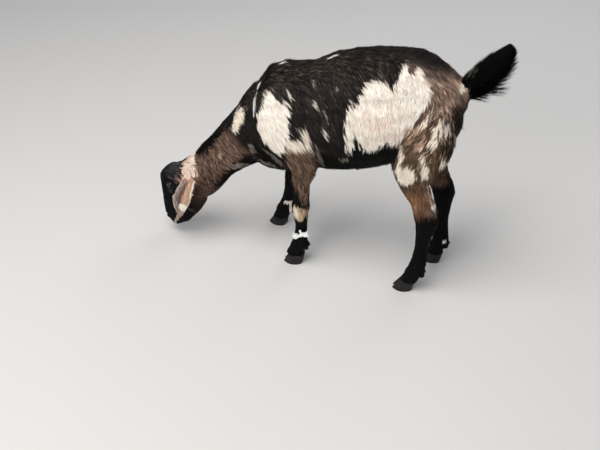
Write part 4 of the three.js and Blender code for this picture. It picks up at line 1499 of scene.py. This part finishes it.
root_tint, tip_tint = tint * (0.55 + 0.25 * pale), np.clip(tint * (1.18 - 0.10 * pale), 0, 0.97)


def unroll(turn, run):
    """A place on the unwrap from a turn about an axis and a share of the way along it."""
    return np.stack([0.5 + turn / (2 * np.pi) * 0.96, 0.02 + 0.96 * np.clip(run, 0, 1)], 1)


x, y, z = roots.T
is_ear = on_ears(roots) > 0.5
is_head = (on_head(roots) > 0.5) & ~is_ear
is_leg = (on_legs(roots) > 0.5) & ~is_head & ~is_ear
is_neck = (y < -0.15) & ~is_head & ~is_ear & ~is_leg
is_trunk = ~(is_ear | is_head | is_leg | is_neck)
is_barrel, is_rump = is_trunk & (y < 0.14), is_trunk & (y >= 0.14)
is_foreleg, is_hindleg = is_leg & (y < 0.1), is_leg & (y >= 0.1)
lengthwise_axis, upright_axis = 1, 2
for name, here, axis, middle, span in (
    # name, which tufts, the axis to unroll them about, its place, the lengths along it
    ("head_left", is_head & (x >= head_x), upright_axis, (head_x, -0.37), (0.02, 0.26)),
    ("head_right", is_head & (x < head_x), upright_axis, (head_x, -0.37), (0.02, 0.26)),
    ("ears", is_ear, lengthwise_axis, (head_x, 0.13), (-0.40, -0.31)),
    ("neck", is_neck, lengthwise_axis, (0.015, 0.30), (-0.34, -0.14)),
    ("forelegs", is_foreleg, upright_axis, (0.0, -0.07), (0.02, 0.28)),
    ("hindleg_left", is_hindleg & (x >= 0), upright_axis, (0.072, 0.27), (0.02, 0.36)),
    ("hindleg_right", is_hindleg & (x < 0), upright_axis, (-0.062, 0.29), (0.02, 0.36)),
    ("barrel_left", is_barrel & (x >= 0), lengthwise_axis, (0.0, 0.43), (-0.17, 0.16)),
    ("barrel_right", is_barrel & (x < 0), lengthwise_axis, (0.0, 0.43), (-0.17, 0.16)),
    ("rump_left", is_rump & (x >= 0), lengthwise_axis, (0.0, 0.47), (0.13, 0.36)),
    ("rump_right", is_rump & (x < 0), lengthwise_axis, (0.0, 0.47), (0.13, 0.36)),
):
    other_axis = lengthwise_axis + upright_axis - axis
    turn = np.arctan2(roots[here, 0] - middle[0], roots[here, other_axis] - middle[1])
    chart = unroll(turn, (roots[here, axis] - span[0]) / (span[1] - span[0]))
    strands = [value[here] for value in (roots, stand, lie, length, width, lift)]
    tints = root_tint[here], tip_tint[here]
    tuft_mesh(f"coat_{name}", strands, tints, chart, np.array([0.42]))


# ---- Tail hair -----------------------------------------------------------------------------------
# A black brush of long hair round the tail's core: drawn along the tail on the upper side, hanging
# out in loose wisps below, and gathered to a point that curls up at the end.
tail_axis = np.array(
    [
        # y, z, half width, reach above, reach below
        (0.320, 0.516, 0.014, 0.012, 0.022),
        (0.335, 0.534, 0.019, 0.020, 0.036),
        (0.351, 0.552, 0.023, 0.026, 0.050),
        (0.376, 0.578, 0.026, 0.028, 0.052),
        (0.399, 0.604, 0.024, 0.026, 0.036),
        (0.413, 0.626, 0.016, 0.016, 0.024),
        (0.418, 0.643, 0.004, 0.006, 0.009),
    ]
)


def tail_point(share, angle, reach):
    """The place at a share of the tail's length, at an angle from its upper side, and at a share of
    the brush's reach there."""
    knots = np.linspace(0, 1, len(tail_axis))
    y, z, wide, above, below = (np.interp(share, knots, tail_axis[:, k]) for k in range(5))
    slope = np.interp(share, knots, np.arctan2(*np.gradient(tail_axis[:, :2], axis=0).T[::-1]))
    rise = np.cos(angle)
    away = np.where(rise > 0, above, below) * rise * reach
    return np.stack(
        [np.sin(angle) * wide * reach, y - np.sin(slope) * away, z + np.cos(slope) * away], 1
    )


tail_count = 6500
tail_rng = np.random.default_rng(23)
tail_share = tail_rng.uniform(0.0, 0.80, tail_count)
tail_turn = tail_rng.uniform(-np.pi, np.pi, tail_count)
under = soft_step(-np.cos(tail_turn), -0.2, 0.7)
tail_roots = tail_point(tail_share, tail_turn, tail_rng.uniform(0.20, 0.62, tail_count))
run = tail_rng.uniform(0.22, 0.36, tail_count) * (1 - 0.25 * under)
end_share = np.minimum(tail_share + run, 1.02 - 0.10 * tail_rng.uniform(size=tail_count) ** 2)
wisps = waves(np.stack([tail_share * 0.15, tail_turn * 0.02, tail_share * 0], 1), 0.012, 51)
end_reach = tail_rng.uniform(0.55, 0.98, tail_count) + under * (0.28 * wisps + 0.06)
end_turn = tail_turn * (1 - 0.10 * tail_rng.uniform(size=tail_count)) + 0.12 * wisps
tail_tips = tail_point(end_share, end_turn, np.clip(end_reach, 0.4, 1.30))
tail_way = tail_tips - tail_roots
tail_length = np.linalg.norm(tail_way, axis=1)
tail_way /= tail_length[:, None]
tail_stand = tail_roots - tail_point(tail_share, tail_turn, np.zeros(tail_count))
tail_stand -= tail_way * (tail_stand * tail_way).sum(1, keepdims=True)
tail_stand /= np.linalg.norm(tail_stand, axis=1, keepdims=True)
tail_shade = np.exp(0.25 * tail_rng.normal(size=tail_count))[:, None]
tail_tint = np.tile(tone(6, 6, 6), (tail_count, 1)) * tail_shade
pale = near_spot(tail_tips, (0.012, 0.352, 0.585), (0.03, 0.010, 0.012)) > 0.4
pale &= tail_rng.uniform(size=tail_count) > 0.72
tail_tint = np.where(pale[:, None], cream * 0.5, tail_tint)
tail_width = tail_rng.uniform(0.0012, 0.0024, tail_count)
tail_lift = tail_length * tail_rng.uniform(0.02, 0.10, tail_count)
tuft_mesh(
    "coat_tail",
    (tail_roots, tail_stand, tail_way, tail_length, tail_width, tail_lift),
    (tail_tint * 0.7, tail_tint),
    unroll(tail_turn, tail_share),
    np.array([0.2, 0.5, 0.8]),
)
